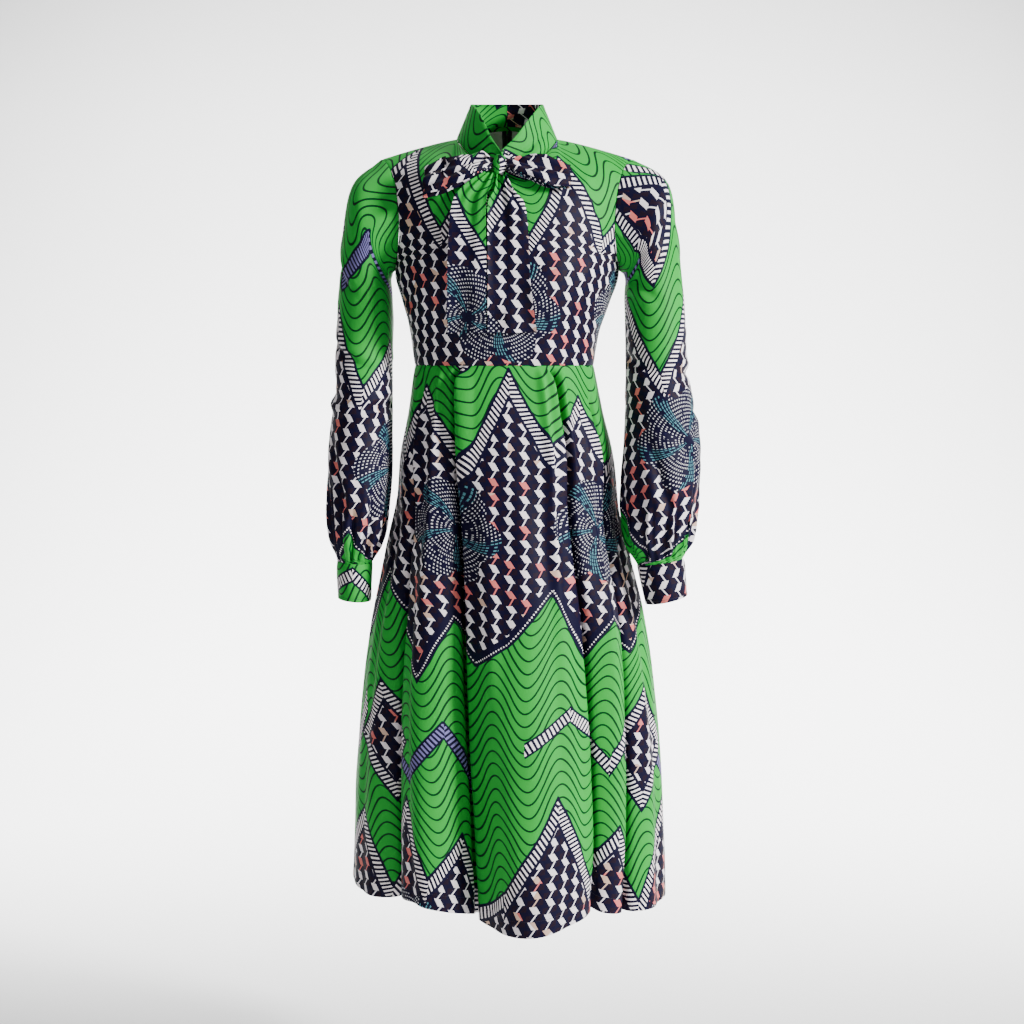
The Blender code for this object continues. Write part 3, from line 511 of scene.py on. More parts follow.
class Term:
    """A value in a material's nodes, used in plain arithmetic.

    wave is its sine, whole the whole number below it, part its share above that, root its square
    root and most the larger of two.  Comparisons are 1 where they hold.
    """
    __add__ = __radd__ = math_method("ADD")
    __sub__, __rsub__ = math_method("SUBTRACT"), math_method("SUBTRACT", swapped=True)
    __mul__ = __rmul__ = math_method("MULTIPLY")
    __truediv__, __rtruediv__ = math_method("DIVIDE"), math_method("DIVIDE", swapped=True)
    __lt__, __gt__, __abs__, wave, whole, part, root, most = map(math_method, (
        "LESS_THAN", "GREATER_THAN", "ABSOLUTE", "SINE", "FLOOR", "FRACT", "SQRT", "MAXIMUM"))

    def __init__(self, graph: "Graph", socket: bpy.types.NodeSocket) -> None:
        """Wrap an output socket of a graph."""
        self.graph = graph
        self.socket = socket

    def within(self, low: "Value", high: "Value") -> "Term":
        """1 between two values."""
        return (self > low) * (self < high)


Value = Union[Term, float]
Tint = Union[Term, Colour]


def rgba(tint: Tint) -> object:
    """A tint as the value of a colour socket."""
    return tint if isinstance(tint, Term) else (*tint, 1.0)


class Graph:
    """The nodes of one material."""

    def __init__(self, name: str) -> None:
        """Start a material with no nodes.

        Args:
            name: Name of the material.
        """
        self.material = bpy.data.materials.new(name)
        self.material.use_nodes = True
        self.tree = self.material.node_tree
        self.tree.nodes.clear()

    def node(self, kind: str, sockets: dict[Union[str, int], object], output: Union[str, int] = 0,
             **settings: object) -> Term:
        """Add a node.

        Args:
            kind: Type of the node, without ShaderNode.
            sockets: Values or links of its inputs, by name or number.
            output: Name or number of the output that is used.
            settings: Its settings.

        Returns:
            That output.
        """
        made = self.tree.nodes.new("ShaderNode" + kind)
        for name, value in settings.items():
            setattr(made, name, value)
        for name, value in sockets.items():
            if isinstance(value, Term):
                self.tree.links.new(value.socket, made.inputs[name])
            else:
                made.inputs[name].default_value = value
        return Term(self, made.outputs[output])

    def ramp(self, share: Term, interpolation: str, stops: Sequence[Pair]) -> Term:
        """Read a ramp of greys.

        Args:
            share: Where it is read, 0 to 1.
            interpolation: How it runs between its stops.
            stops: Position and grey value of each.

        Returns:
            The grey value.
        """
        made = self.tree.nodes.new("ShaderNodeValToRGB")
        made.color_ramp.interpolation = interpolation
        elements = made.color_ramp.elements
        while len(elements) < len(stops):
            elements.new(1.0)
        for element, (place, value) in zip(elements, stops):
            element.position = place
            element.color = (value, value, value, 1.0)
        self.tree.links.new(share.socket, made.inputs[0])
        return Term(self, made.outputs[0])

    def math(self, operation: str, *values: Value) -> Term:
        """Result of a new Math node."""
        return self.node("Math", dict(enumerate(values)), operation=operation)

    def mix(self, share: Value, low: Tint, high: Tint, blend: str = "MIX") -> Term:
        """Mix a share of the second colour into the first."""
        return self.node("Mix", {0: share, 6: rgba(low), 7: rgba(high)}, 2, data_type="RGBA",
                         blend_type=blend)

    def flat_place(self) -> tuple[Term, Term]:
        """Place on the flat cloth, in metres: across and down."""
        split = self.node("SeparateXYZ", {0: self.node("UVMap", {}, uv_map=UV_NAME)})
        return split, Term(self, split.socket.node.outputs[1])

    def object_place(self) -> Term:
        """Place in the dress's own metres."""
        return self.node("TexCoord", {}, "Object")

    def join(self, x: Value, y: Value, z: Value = 0.0) -> Term:
        """Vector of three values."""
        return self.node("CombineXYZ", {0: x, 1: y, 2: z})

    def noise(self, place: Term, scale: float, detail: float = 2.0) -> Term:
        """Soft noise from 0 to 1, with so many features in a metre and finer layers."""
        return self.node("TexNoise", {"Vector": place, "Scale": scale, "Detail": detail})

    def chance(self, x: Value, y: Value) -> Term:
        """Random value from 0 to 1 for a cell, given its number across and down."""
        return self.node("TexWhiteNoise", {"Vector": self.join(x, y)}, noise_dimensions="2D")

    def finish(self, colour: Tint, roughness: Value, bump: Term = None, bump_height: float = 0.0,
               bump_strength: float = 1.0, constants: dict[str, float] = None) -> Material:
        """Add the shader and close the material.

        Args:
            colour: Base colour.
            roughness: Roughness.
            bump: Height of the relief, 0 to 1.
            bump_height: Height in metres of a full relief.
            bump_strength: Share of the bump that is used.
            constants: Other sockets, with one value all over.

        Returns:
            The material.
        """
        sockets = {"Base Color": rgba(colour), "Roughness": roughness, **(constants or {})}
        if bump is not None:
            sockets["Normal"] = self.node("Bump", {"Strength": bump_strength, "Distance": bump_height,
                                                   "Height": bump})
        shader = self.node("BsdfPrincipled", sockets)
        end = self.tree.nodes.new("ShaderNodeOutputMaterial")
        self.tree.links.new(shader.socket, end.inputs["Surface"])
        return self.material


def linear(value: int) -> float:
    """Linear value of a display value from 0 to 255."""
    share = value / 255
    return share / 12.92 if share <= 0.04045 else ((share + 0.055) / 1.055)**2.4


def ink(red: int, green: int, blue: int) -> Colour:
    """Linear colour of a display colour from 0 to 255."""
    return linear(red), linear(green), linear(blue)


# ---- wax print ------------------------------------------------------------------------------
@dataclass(frozen=True)
class Outline:
    """A jagged line across the cloth: shares of the repeat and heights down it, in metres."""
    corners: tuple[Pair, ...]

    def lookup(self, share: Term, repeat: float) -> tuple[Term, Term]:
        """Height and slope of the line.

        Args:
            share: Place across, as a share of the repeat.
            repeat: Width of the repeat in metres.

        Returns:
            Height in metres and slope.
        """
        height = share.graph.ramp(share, "LINEAR", self.corners)
        steps = [(x, 0.5 + (next_y - y) / ((next_x - x) * repeat) / SLOPE_RANGE)
                 for (x, y), (next_x, next_y) in zip(self.corners, self.corners[1:])]
        return height, (share.graph.ramp(share, "CONSTANT", steps) - 0.5) * SLOPE_RANGE


@dataclass(frozen=True)
class WaxPrint:
    """The printed cotton: green grounds with contour lines, dark grounds with zigzag columns.

    Lengths are in metres of flat cloth; the tile's own numbers are shares of its cell.
    """
    across: float = 0.56
    down: float = 0.62
    row_slip: float = 0.41
    green: Colour = ink(36, 160, 56)
    green_line: Colour = ink(4, 38, 20)
    navy: Colour = ink(11, 8, 38)
    brown: Colour = ink(30, 15, 28)
    white: Colour = ink(250, 241, 243)
    coral: Colour = ink(218, 112, 98)
    sand: Colour = ink(214, 178, 152)
    lilac: Colour = ink(120, 114, 168)
    mist: Colour = ink(84, 140, 150)
    upper: Outline = Outline(((0.00, 0.150), (0.11, 0.085), (0.22, 0.200), (0.31, 0.125), (0.42, 0.175),
                              (0.55, 0.075), (0.68, 0.225), (0.80, 0.130), (0.90, 0.185), (1.00, 0.150)))
    lower: Outline = Outline(((0.00, 0.480), (0.13, 0.355), (0.27, 0.490), (0.37, 0.410), (0.48, 0.520),
                              (0.60, 0.385), (0.70, 0.495), (0.79, 0.425), (0.89, 0.525), (1.00, 0.480)))
    ribbon: Outline = Outline(((0.00, 0.300), (0.16, 0.250), (0.33, 0.330), (0.41, 0.250), (0.62, 0.360),
                               (0.74, 0.285), (0.86, 0.375), (1.00, 0.300)))
    ribbon_shares: tuple[Pair, ...] = ((0.04, 0.40), (0.56, 0.86))
    ribbon_half: float = 0.0092
    ribbon_bar: float = 0.70
    island: tuple[float, float, float, float] = (0.485, 0.310, 0.066, 0.092)
    contour_pitch: float = 0.0175
    contour_half: float = 0.00122
    contour_wave: float = 0.098
    contour_swing: float = 0.027
    ladder: Triple = (0.0036, 0.0172, 0.0212)
    bar_pitch: float = 0.0066
    bar_lean: float = 0.45
    bar_share: float = 0.46
    band: float = 0.0150
    dot_from_edge: float = 0.0050
    dot_pitch: float = 0.0045
    dot_radius: float = 0.0012
    tile_across: float = 0.0215
    tile_down: float = 0.0200
    tile_step: float = 0.36
    tile_lean: float = 0.15
    stroke_half: float = 0.056
    tile_more: float = 0.158
    coral_draws: Pair = (0.90, 1.2)
    sand_draws: Pair = (0.84, 0.90)
    speck_waves: float = 1500.0
    disc_across: float = 0.235
    disc_radius: float = 0.080
    disc_scatter: Pair = (0.05, 0.07)
    disc_hole: float = 0.008
    disc_ring: float = 0.0056
    disc_rays: float = 22.0
    more_rays_from: Pair = (0.017, 0.036)
    marks_missing: float = 0.16

    def build(self) -> Material:
        """Make the material.

        Returns:
            The material.
        """
        graph = Graph("wax print cotton")
        x0, y0 = graph.flat_place()
        place = graph.join(x0, y0)
        wobble = graph.noise(place, 16.0, 1.0) - 0.5
        x = x0 + wobble * 0.006
        y = y0 + (graph.noise(graph.join(y0, x0, 3.7), 16.0, 1.0) - 0.5) * 0.006
        row = (y / self.down).whole()
        share = (x / self.across + row * self.row_slip).part()
        height = y - row * self.down
        top, top_slope = self.upper.lookup(share, self.across)
        low, low_slope = self.lower.lookup(share, self.across)
        top_scale = 1.0 / (1.0 + top_slope * top_slope).root()
        low_scale = 1.0 / (1.0 + low_slope * low_slope).root()
        below_top = (height - top) * top_scale
        above_low = (low - height) * low_scale
        place_share, place_height, wide, tall = self.island
        from_side = abs(share - place_share) * self.across
        from_middle = abs(height - place_height)
        inside = (1.0 - from_side / wide - from_middle / tall) * (wide * tall / math.hypot(wide, tall))
        in_green = (below_top > 0.0) * (above_low > 0.0) * (inside < 0.0)

        green = self.contours(x, y)
        green = self.draw_ribbon(green, share, height, x)
        dark = self.tiles(x, y)
        dark = self.disc(dark, x, y)
        dark = self.edge_band(dark, 0.0 - below_top, (x + top_slope * height) * top_scale, True)
        dark = self.edge_band(dark, 0.0 - above_low, (x + low_slope * height) * low_scale, False)
        dark = self.edge_band(dark, inside, (from_side - from_middle) * 0.75, False)
        colour = graph.mix(in_green, dark, green)

        mottle = graph.noise(place, 9.0, 3.0)
        yarn = graph.noise(graph.join(x0 * 2400.0, y0 * 160.0), 1.0, 1.0)
        tone = 0.90 + mottle * 0.14 + (yarn - 0.5) * 0.10
        colour = graph.mix(1.0, colour, graph.join(tone, tone, tone), "MULTIPLY")
        weave = self.weave(x0, y0)
        return graph.finish(colour, 0.50 + mottle * 0.10 + weave * 0.05, weave, WEAVE_HEIGHT, 0.35,
                            {"Specular IOR Level": 0.09})

    def contours(self, x: Term, y: Term) -> Term:
        """Green ground with nested contour lines.

        Args:
            x: Across the cloth.
            y: Down the cloth.

        Returns:
            Colour.
        """
        turn = math.tau / self.contour_wave
        drift = (y * 9.0).wave() * 0.9
        angle = x * turn + drift
        rise = self.contour_swing * turn * x.graph.math("COSINE", angle)
        level = y + angle.wave() * self.contour_swing
        off = abs((level / self.contour_pitch).part() - 0.5) * self.contour_pitch
        line = off < (1.0 + rise * rise).root() * self.contour_half
        return x.graph.mix(line, self.green, self.green_line)

    def draw_ribbon(self, ground: Term, share: Term, height: Term, x: Term) -> Term:
        """Zigzag ladder ribbon over the green ground.

        Args:
            ground: Colour below it.
            share: Share of the repeat across.
            height: Height down the repeat.
            x: Across the cloth.

        Returns:
            Colour.
        """
        graph = x.graph
        middle, slope = self.ribbon.lookup(share, self.across)
        scale = 1.0 / (1.0 + slope * slope).root()
        off = abs(height - middle) * scale
        along = (x + slope * height) * scale
        (first, last), (second, end) = self.ribbon_shares
        reach = share.within(first, last) + share.within(second, end)
        bars = ((along / self.bar_pitch).part() < 0.5) * (off < self.ribbon_half * self.ribbon_bar)
        hatched = graph.mix(bars, self.navy, graph.mix(share > second, self.white, self.lilac))
        return graph.mix(reach * (off < self.ribbon_half), ground, hatched)

    def tiles(self, x: Term, y: Term) -> Term:
        """Dark ground with columns of leaning tiles joined by thin strokes.

        Args:
            x: Across the cloth.
            y: Down the cloth.

        Returns:
            Colour.
        """
        graph = x.graph
        cell_x = x / self.tile_across
        number = cell_x.whole()
        cell_y = y / self.tile_down + number * self.tile_step
        down = cell_y.part()
        thick = down < 0.5
        swing = abs(down - 0.5) * 4.0 - 1.0
        middle = 0.5 - swing * self.tile_lean
        half = self.stroke_half + thick * self.tile_more
        on_tile = abs(cell_x.part() - middle) < half
        level = cell_y.whole()
        draw = graph.chance(number, level) * 0.6 + graph.noise(graph.join(x, y, 9.0), 11.0, 0.0) * 0.8
        pale = graph.mix(draw.within(*self.coral_draws), self.white, self.coral)
        pale = graph.mix(draw.within(*self.sand_draws), pale, self.sand)
        shade = graph.mix(graph.noise(graph.join(x, y, 2.0), 70.0, 1.0), pale, self.lilac)
        pale = graph.mix(0.18, pale, shade)
        beside = abs((cell_x + 0.5).part() - middle) < 0.29
        speck = ((x * self.speck_waves).wave() * (y * self.speck_waves).wave()) > 0.3
        block = graph.mix(speck * 0.6, self.brown, self.navy)
        ground = graph.mix(beside * (1.0 - thick) * down.within(0.56, 0.95), self.navy, block)
        return graph.mix(on_tile, ground, pale)

    def disc(self, ground: Term, x: Term, y: Term) -> Term:
        """Swirling discs of dots and dashes along the middle of each dark ground.

        Args:
            ground: Colour below them.
            x: Across the cloth.
            y: Down the cloth.

        Returns:
            Colour.
        """
        graph = x.graph
        row = ((y + self.down / 2) / self.down).whole()
        number = (x / self.disc_across + row * 0.5).whole()
        place = graph.chance(number, row)
        across, down = self.disc_scatter
        dx = x - (number + 0.5 - row * 0.5) * self.disc_across - (place - 0.5) * across
        dy = y - row * self.down - (graph.chance(number, row + 7.0) - 0.5) * down
        reach = (dx * dx + dy * dy * 1.2).root()
        angle = graph.math("ARCTAN2", dy, dx) + reach * 9.0 * (place.most(0.3))
        edge = self.disc_radius * (0.80 + abs((angle * 3.0).wave()) * 0.22)
        ring = reach / self.disc_ring
        double, fourfold = self.more_rays_from
        count = (self.disc_rays + (reach > double) * self.disc_rays
                 + (reach > fourfold) * (2.0 * self.disc_rays))
        ray = (angle * count / math.tau + (place * 3.0)).part()
        fan = (angle * (5.0 / math.tau) + place).part()
        fanned = fan < 0.26
        dash = 0.40 + fanned * 0.34
        mark = ray.within(0.32, 0.70) * (ring.part() < dash) * (reach > self.disc_hole)
        mark = mark * (graph.chance((angle * 9.0).whole(), ring.whole()) > self.marks_missing)
        tint = graph.mix(fanned, graph.mix(0.30, self.white, self.mist), self.mist)
        inside = graph.mix(mark, self.navy, tint)
        return graph.mix(reach < edge, ground, inside)

    def edge_band(self, ground: Term, inward: Term, along: Term, dotted: bool) -> Term:
        """Dark band with a ladder of pale bars or a row of dots along an edge of the dark ground.

        Args:
            ground: Colour below it.
            inward: Distance from the edge into the dark ground.
            along: Distance along the edge.
            dotted: Whether it has dots.

        Returns:
            Colour.
        """
        first, last, end = self.ladder
        if dotted:
            across = inward - self.dot_from_edge
            beside = ((along / self.dot_pitch).part() - 0.5) * self.dot_pitch
            mark, end = (across * across + beside * beside) < self.dot_radius**2, self.band
        else:
            leaning = along + inward * self.bar_lean
            mark = inward.within(first, last) * ((leaning / self.bar_pitch).part() < self.bar_share)
        inside = inward.graph.mix(mark, self.navy, self.white)
        return inward.graph.mix(inward.within(0.0, end), ground, inside)

    def weave(self, x: Term, y: Term) -> Term:
        """Height of a plain weave, 0 to 1.

        Args:
            x: Across the cloth.
            y: Down the cloth.

        Returns:
            Height.
        """
        warp, weft = (x * WEAVE).wave(), (y * WEAVE).wave()
        slub = x.graph.noise(x.graph.join(x * 40.0, y * 900.0), 1.0, 1.0)
        return 0.5 + warp * weft * 0.3 + (slub - 0.5) * 0.6


@dataclass(frozen=True)
class FacingCloth:
    """Pale plain cotton inside the back neck."""
    colour: Colour = ink(226, 214, 214)

    def build(self) -> Material:
        """Make the material.

        Returns:
            The material.
        """
        graph = Graph("pale facing cotton")
        x, y = graph.flat_place()
        mottle = graph.noise(graph.join(x, y), 60.0, 3.0)
        weave = (x * WEAVE).wave() * (y * WEAVE).wave() * 0.5 + 0.5
        colour = graph.mix(mottle * 0.35, self.colour, ink(198, 182, 190))
        return graph.finish(colour, 0.80 + mottle * 0.1, weave, WEAVE_HEIGHT, 0.4)


@dataclass(frozen=True)
class ZipTapeCloth:
    """Black herringbone tape."""
    colour: Colour = ink(20, 19, 22)

    def build(self) -> Material:
        """Make the material.

        Returns:
            The material.
        """
        graph = Graph("zip tape")
        x, y = graph.flat_place()
        rib = (abs((x * 700.0).part() - 0.5) + y * 700.0).part()
        colour = graph.mix(rib * 0.6, self.colour, ink(44, 43, 50))
        return graph.finish(colour, 0.70 + rib * 0.1, rib, 0.00015, 0.6)


@dataclass(frozen=True)
class PlainPart:
    """Plastic, thread or metal with a fine worn surface, drawn in the dress's own metres."""
    name: str
    colour: Colour
    worn: Colour
    roughness: float
    metallic: float = 0.0
    grain: float = 900.0

    def build(self) -> Material:
        """Make the material.

        Returns:
            The material.
        """
        graph = Graph(self.name)
        place = graph.object_place()
        patch = graph.noise(place, 220.0, 3.0)
        fine = graph.noise(place, self.grain, 2.0)
        colour = graph.mix(patch * 0.6, self.colour, self.worn)
        return graph.finish(colour, self.roughness + (patch - 0.5) * 0.2, fine, 0.00004, 0.5,
                            {"Metallic": self.metallic})


# ---- bodice ---------------------------------------------------------------------------------
@dataclass(frozen=True)
class BodiceLevel:
    """One level of the bodice, v running from the waist to the neck and shoulders."""
    v: float
    mid_x: float
    half: float
    mid_y: float
    side_y: float
    mid_z: float
    side_z: float
    wrap: float


@dataclass
class Bodice:
    """The fitted upper part: its form, and the three panels cut for it.

    u_length and v_length are metres of cloth to one unit of u and v, neck_length those near the neck.
    """
    neck_half: float = 0.0725
    neck_side_y: float = 0.003
    neck_front: Pair = (-0.077, -0.050)
    neck_back: Pair = (0.062, 0.025)
    neck_rise_power: float = 1.6
    shoulder_tip: Triple = (0.180, 0.006, -0.028)
    neck_u: float = 0.46
    roll_v: float = 0.72
    roll_front_neck: float = 52.0
    roll_back_neck: float = 60.0
    roll_neck_side: float = 66.0
    roll_shoulder: float = 86.0
    underarm_v: float = 0.58
    bust: tuple[float, float, float, float] = (0.078, -0.200, 0.018, 0.062)
    front_levels: tuple[BodiceLevel, ...] = table(
        BodiceLevel, (0.0, -0.004, 0.129, -0.098, 0.0, -0.322, -0.322, 90),
        (0.2, -0.003, 0.1365, -0.108, 0.0, -0.272, -0.272, 90),
        (0.4, -0.001, 0.149, -0.118, 0.0, -0.222, -0.232, 89),
        (0.58, 0.0, 0.161, -0.114, 0.0, -0.17, -0.188, 88),
        (0.65, 0.0, 0.156, -0.108, -0.03, -0.145, -0.166, 72),
        (0.72, 0.0, 0.152, -0.1, -0.048, -0.118, -0.134, 62))
    back_levels: tuple[BodiceLevel, ...] = table(
        BodiceLevel, (0.0, -0.004, 0.129, 0.086, 0.0, -0.322, -0.322, 90),
        (0.2, -0.003, 0.1365, 0.09, 0.0, -0.272, -0.272, 90),
        (0.4, -0.001, 0.149, 0.099, 0.0, -0.222, -0.232, 89),
        (0.58, 0.0, 0.161, 0.104, 0.0, -0.162, -0.188, 88),
        (0.65, 0.0, 0.159, 0.103, 0.028, -0.134, -0.164, 72),
        (0.72, 0.0, 0.158, 0.1, 0.044, -0.105, -0.13, 62))
    u_length: float = 0.25
    v_length: float = 0.33
    neck_length: float = 0.17
    dart_width: float = 0.0022
    dart_taper: float = 0.14
    steps_per_half: int = 66
    rows: int = 110
    dart_x: float = 0.098
    dart_top: float = 0.64
    dart_depth: float = 0.0011
    front_creases: tuple[Crease, ...] = table(
        Crease,
        (-0.108, 0.205, 24, 0.09, 0.006, -0.0022, 0.006), (0.116, 0.19, -20, 0.08, 0.006, -0.002, -0.005),
        (-0.052, 0.262, 12, 0.06, 0.005, -0.0014), (0.058, 0.258, -14, 0.055, 0.005, -0.0013),
        (-0.128, 0.12, 62, 0.075, 0.0065, -0.0024, 0.008),
        (0.132, 0.112, -58, 0.08, 0.0065, -0.0024, -0.008),
        (-0.112, 0.088, 48, 0.06, 0.006, 0.0013, 0.004), (0.118, 0.08, -44, 0.065, 0.006, 0.0013, -0.004),
        (-0.15, 0.255, 76, 0.07, 0.005, -0.0018), (0.15, 0.248, -74, 0.075, 0.005, -0.0018),
        (-0.045, 0.06, 30, 0.05, 0.005, -0.001), (0.06, 0.055, -34, 0.055, 0.005, -0.001))
    back_creases: tuple[Crease, ...] = table(
        Crease,
        (0.07, 0.235, 16, 0.08, 0.006, -0.002, 0.005), (0.128, 0.205, 34, 0.085, 0.006, -0.0022, 0.006),
        (0.11, 0.11, -50, 0.09, 0.007, -0.0022, -0.007), (0.06, 0.288, 82, 0.075, 0.005, -0.0017),
        (0.12, 0.262, 70, 0.06, 0.005, -0.0016), (0.09, 0.07, -38, 0.06, 0.0055, 0.0012))

    def face(self, u: Array, v: Array, panel: Panel) -> Array:
        """Points of the outer face.

        Args:
            u: Across the panel, -1 to 1.
            v: Up the panel, 0 to 1.
            panel: Front or back.

        Returns:
            Points in metres.
        """
        front = panel is Panel.FRONT
        rows = self.front_levels if front else self.back_levels
        u, v = together(u, v)
        a = np.abs(u)
        level = np.minimum(v, self.roll_v)
        mid_x, half, mid_y, side_y, mid_z, side_z, wrap = (
            column(rows, "v", name, level)
            for name in ("mid_x", "half", "mid_y", "side_y", "mid_z", "side_z", "wrap"))
        wrap = np.radians(wrap)
        x = half * np.sin(a * wrap) / np.sin(wrap)
        y = side_y + (mid_y - side_y) * (np.cos(a * wrap) - np.cos(wrap)) / (1.0 - np.cos(wrap))
        z = mid_z + (side_z - mid_z) * a**2
        neck_y, neck_z = self.neck_front if front else self.neck_back
        round_neck = np.clip(a / self.neck_u, 0.0, 1.0) * np.pi / 2
        out = np.clip((a - self.neck_u) / (1.0 - self.neck_u), 0.0, 1.0)
        tip_x, tip_y, tip_z = self.shoulder_tip
        seam_x = self.neck_half * np.sin(round_neck) + (tip_x - self.neck_half) * out
        seam_y = (self.neck_side_y + (neck_y - self.neck_side_y) * np.cos(round_neck)
                  + (tip_y - self.neck_side_y) * out)
        seam_z = neck_z * np.cos(round_neck) ** self.neck_rise_power + tip_z * out**1.2
        at_neck = self.roll_front_neck if front else self.roll_back_neck
        full = np.radians(at_neck + (self.roll_neck_side - at_neck) * smooth(a / self.neck_u)
                          + (self.roll_shoulder - self.roll_neck_side) * out)
        roll = np.clip((v - self.roll_v) / (1.0 - self.roll_v), 0.0, 1.0) * full
        back = (np.cos(roll) - np.cos(full)) / (1.0 - np.cos(full))
        x = seam_x + (x - seam_x) * back
        y = seam_y + (y - seam_y) * back
        z = z + (seam_z - z) * np.sin(roll) / np.sin(full)
        if front:
            bust_x, bust_z, bust_out, bust_spread = self.bust
            reach = (x - bust_x)**2 + (0.85 * (z - bust_z))**2
            y = y - bust_out * np.exp(-reach / bust_spread**2) * (1.0 - a**4)
        return stacked(mid_x + np.where(u < 0, -x, x), y, z)

    def away(self, u: Array, v: Array, panel: Panel) -> Array:
        """Normals of the outer face; the seams between front and back share theirs.

        Args:
            u: Across the panel.
            v: Up the panel.
            panel: Front or back.

        Returns:
            Unit normals.
        """
        def own(which: Panel) -> Array:
            """Normals of one panel alone."""
            return surface_normals(lambda s, t: self.face(s, t, which), u, v,
                                   lambda p: p - np.array([0.0, 0.0, -0.20]))
        other = Panel.BACK if panel is Panel.FRONT else Panel.FRONT
        found = own(panel)
        shared = (np.abs(u) >= 1.0) | ((v >= 1.0) & (np.abs(u) >= self.neck_u))
        found = np.where(shared[..., None], unit(found + own(other)), found)
        found[..., 2] = np.where(v <= 0.0, 0.0, found[..., 2])
        return unit(found)

    def armhole(self, turn: Array, side: Side) -> Array:
        """Points round an armhole, from the shoulder by the front.

        Args:
            turn: Degrees, 0 at the shoulder and 180 at the underarm.
            side: Which armhole.

        Returns:
            Points in metres.
        """
        turn = np.asarray(turn, float) % 360.0
        front = turn <= 180.0
        down = np.where(front, turn, 360.0 - turn) / 180.0
        v = 1.0 - (1.0 - self.underarm_v) * down
        u = np.full(turn.shape, side.value)
        return np.where(front[..., None], self.face(u, v, Panel.FRONT), self.face(u, v, Panel.BACK))

    def front_at(self, x: Array, z: Array) -> tuple[Array, Array]:
        """Point and normal of the front seen at x, z.

        Args:
            x: Places across.
            z: Heights.

        Returns:
            Points and unit normals.
        """
        x, z = together(x, z)
        u, v = x / self.shoulder_tip[0], np.full(x.shape, 0.8)
        for _ in range(20):
            here = self.face(u, v, Panel.FRONT)
            by_u = (self.face(u + STEP, v, Panel.FRONT) - here) / STEP
            by_v = (self.face(u, v - STEP, Panel.FRONT) - here) / -STEP
            miss_x, miss_z = x - here[..., 0], z - here[..., 2]
            bend = by_u[..., 0] * by_v[..., 2] - by_v[..., 0] * by_u[..., 2]
            bend = np.where(np.abs(bend) < 1e-6, 1e-6, bend)
            u = np.clip(u + 0.8 * (miss_x * by_v[..., 2] - miss_z * by_v[..., 0]) / bend, -0.98, 0.98)
            v = np.clip(v + 0.8 * (miss_z * by_u[..., 0] - miss_x * by_u[..., 2]) / bend, 0.02, 0.999)
        return self.face(u, v, Panel.FRONT), self.away(u, v, Panel.FRONT)

    def panel_shell(self, name: str, across: Array, panel: Panel, middle: int,
                    creases: Sequence[Crease], seed: int) -> ClothShell:
        """One panel with its creases and seams.

        Args:
            name: Name of the piece.
            across: Values of u for its columns.
            panel: Front or back.
            middle: Column on the straight grain.
            creases: Creases placed one by one.
            seed: Seed of the small wrinkles.

        Returns:
            The shell.
        """
        u, v = np.meshgrid(across, spread(1.0, 0.0, self.rows, 0.004))
        outer = self.face(u, v, panel)
        away = self.away(u, v, panel)
        cloth = flat_cloth(outer, middle)
        relief = Wrinkles(seed).relief(cloth) + sum(crease.height(cloth) for crease in creases)
        clear = smooth((1.0 - np.abs(u)) / 0.07) * smooth(v / 0.03) * smooth((1.0 - v) / 0.05)
        if abs(across).min() < 1e-9 and across.min() * across.max() >= 0:
            clear = clear * smooth(np.abs(u) / 0.05)
        dip = (seam_dip((1.0 - np.abs(u)) * self.u_length) + seam_dip(v * self.v_length)
               + seam_dip((1.0 - v) * self.neck_length))
        if panel is Panel.FRONT:
            lean = 1.0 - self.dart_taper + self.dart_taper * v / self.dart_top
            beside = np.abs(np.abs(outer[..., 0]) - self.dart_x * lean)
            dip = dip - self.dart_depth * bell(beside, self.dart_width) * smooth((self.dart_top - v) / 0.05)
        outer = outer + away * (relief * clear + dip)[..., None]
        settle_edges(outer, ((0, "rows"), (-1, "rows"), (0, "columns"), (-1, "columns")))
        return ClothShell(name, outer, away, cloth)

    def build(self, wardrobe: Wardrobe) -> None:
        """Make the three panels.

        Args:
            wardrobe: Takes the pieces.
        """
        half = self.steps_per_half
        front = self.panel_shell("bodice_front", spread(-1.0, 1.0, 2 * half, 0.008), Panel.FRONT,
                                 half + 2, self.front_creases, 21)
        wardrobe.sheet(front, Held.STRETCHED, ["skirt_front", "bodice_back_left"], (0.245, 0.352))
        for side in Side:
            far = side.value
            across = spread(min(0.0, far), max(0.0, far), half, 0.008)
            middle = 0 if side is Side.LEFT else len(across) - 1
            creases = [Crease(crease.x * far, crease.y, crease.turn * far, crease.length, crease.width,
                              crease.depth, crease.bow * far) for crease in self.back_creases]
            back = self.panel_shell("bodice_back_" + side.label, across, Panel.BACK, middle, creases,
                                    23 + int(far))
            wardrobe.sheet(back, Held.STRETCHED, ["bodice_front", "skirt_back_" + side.label],
                           (0.150 + 0.012 * far, 0.420))


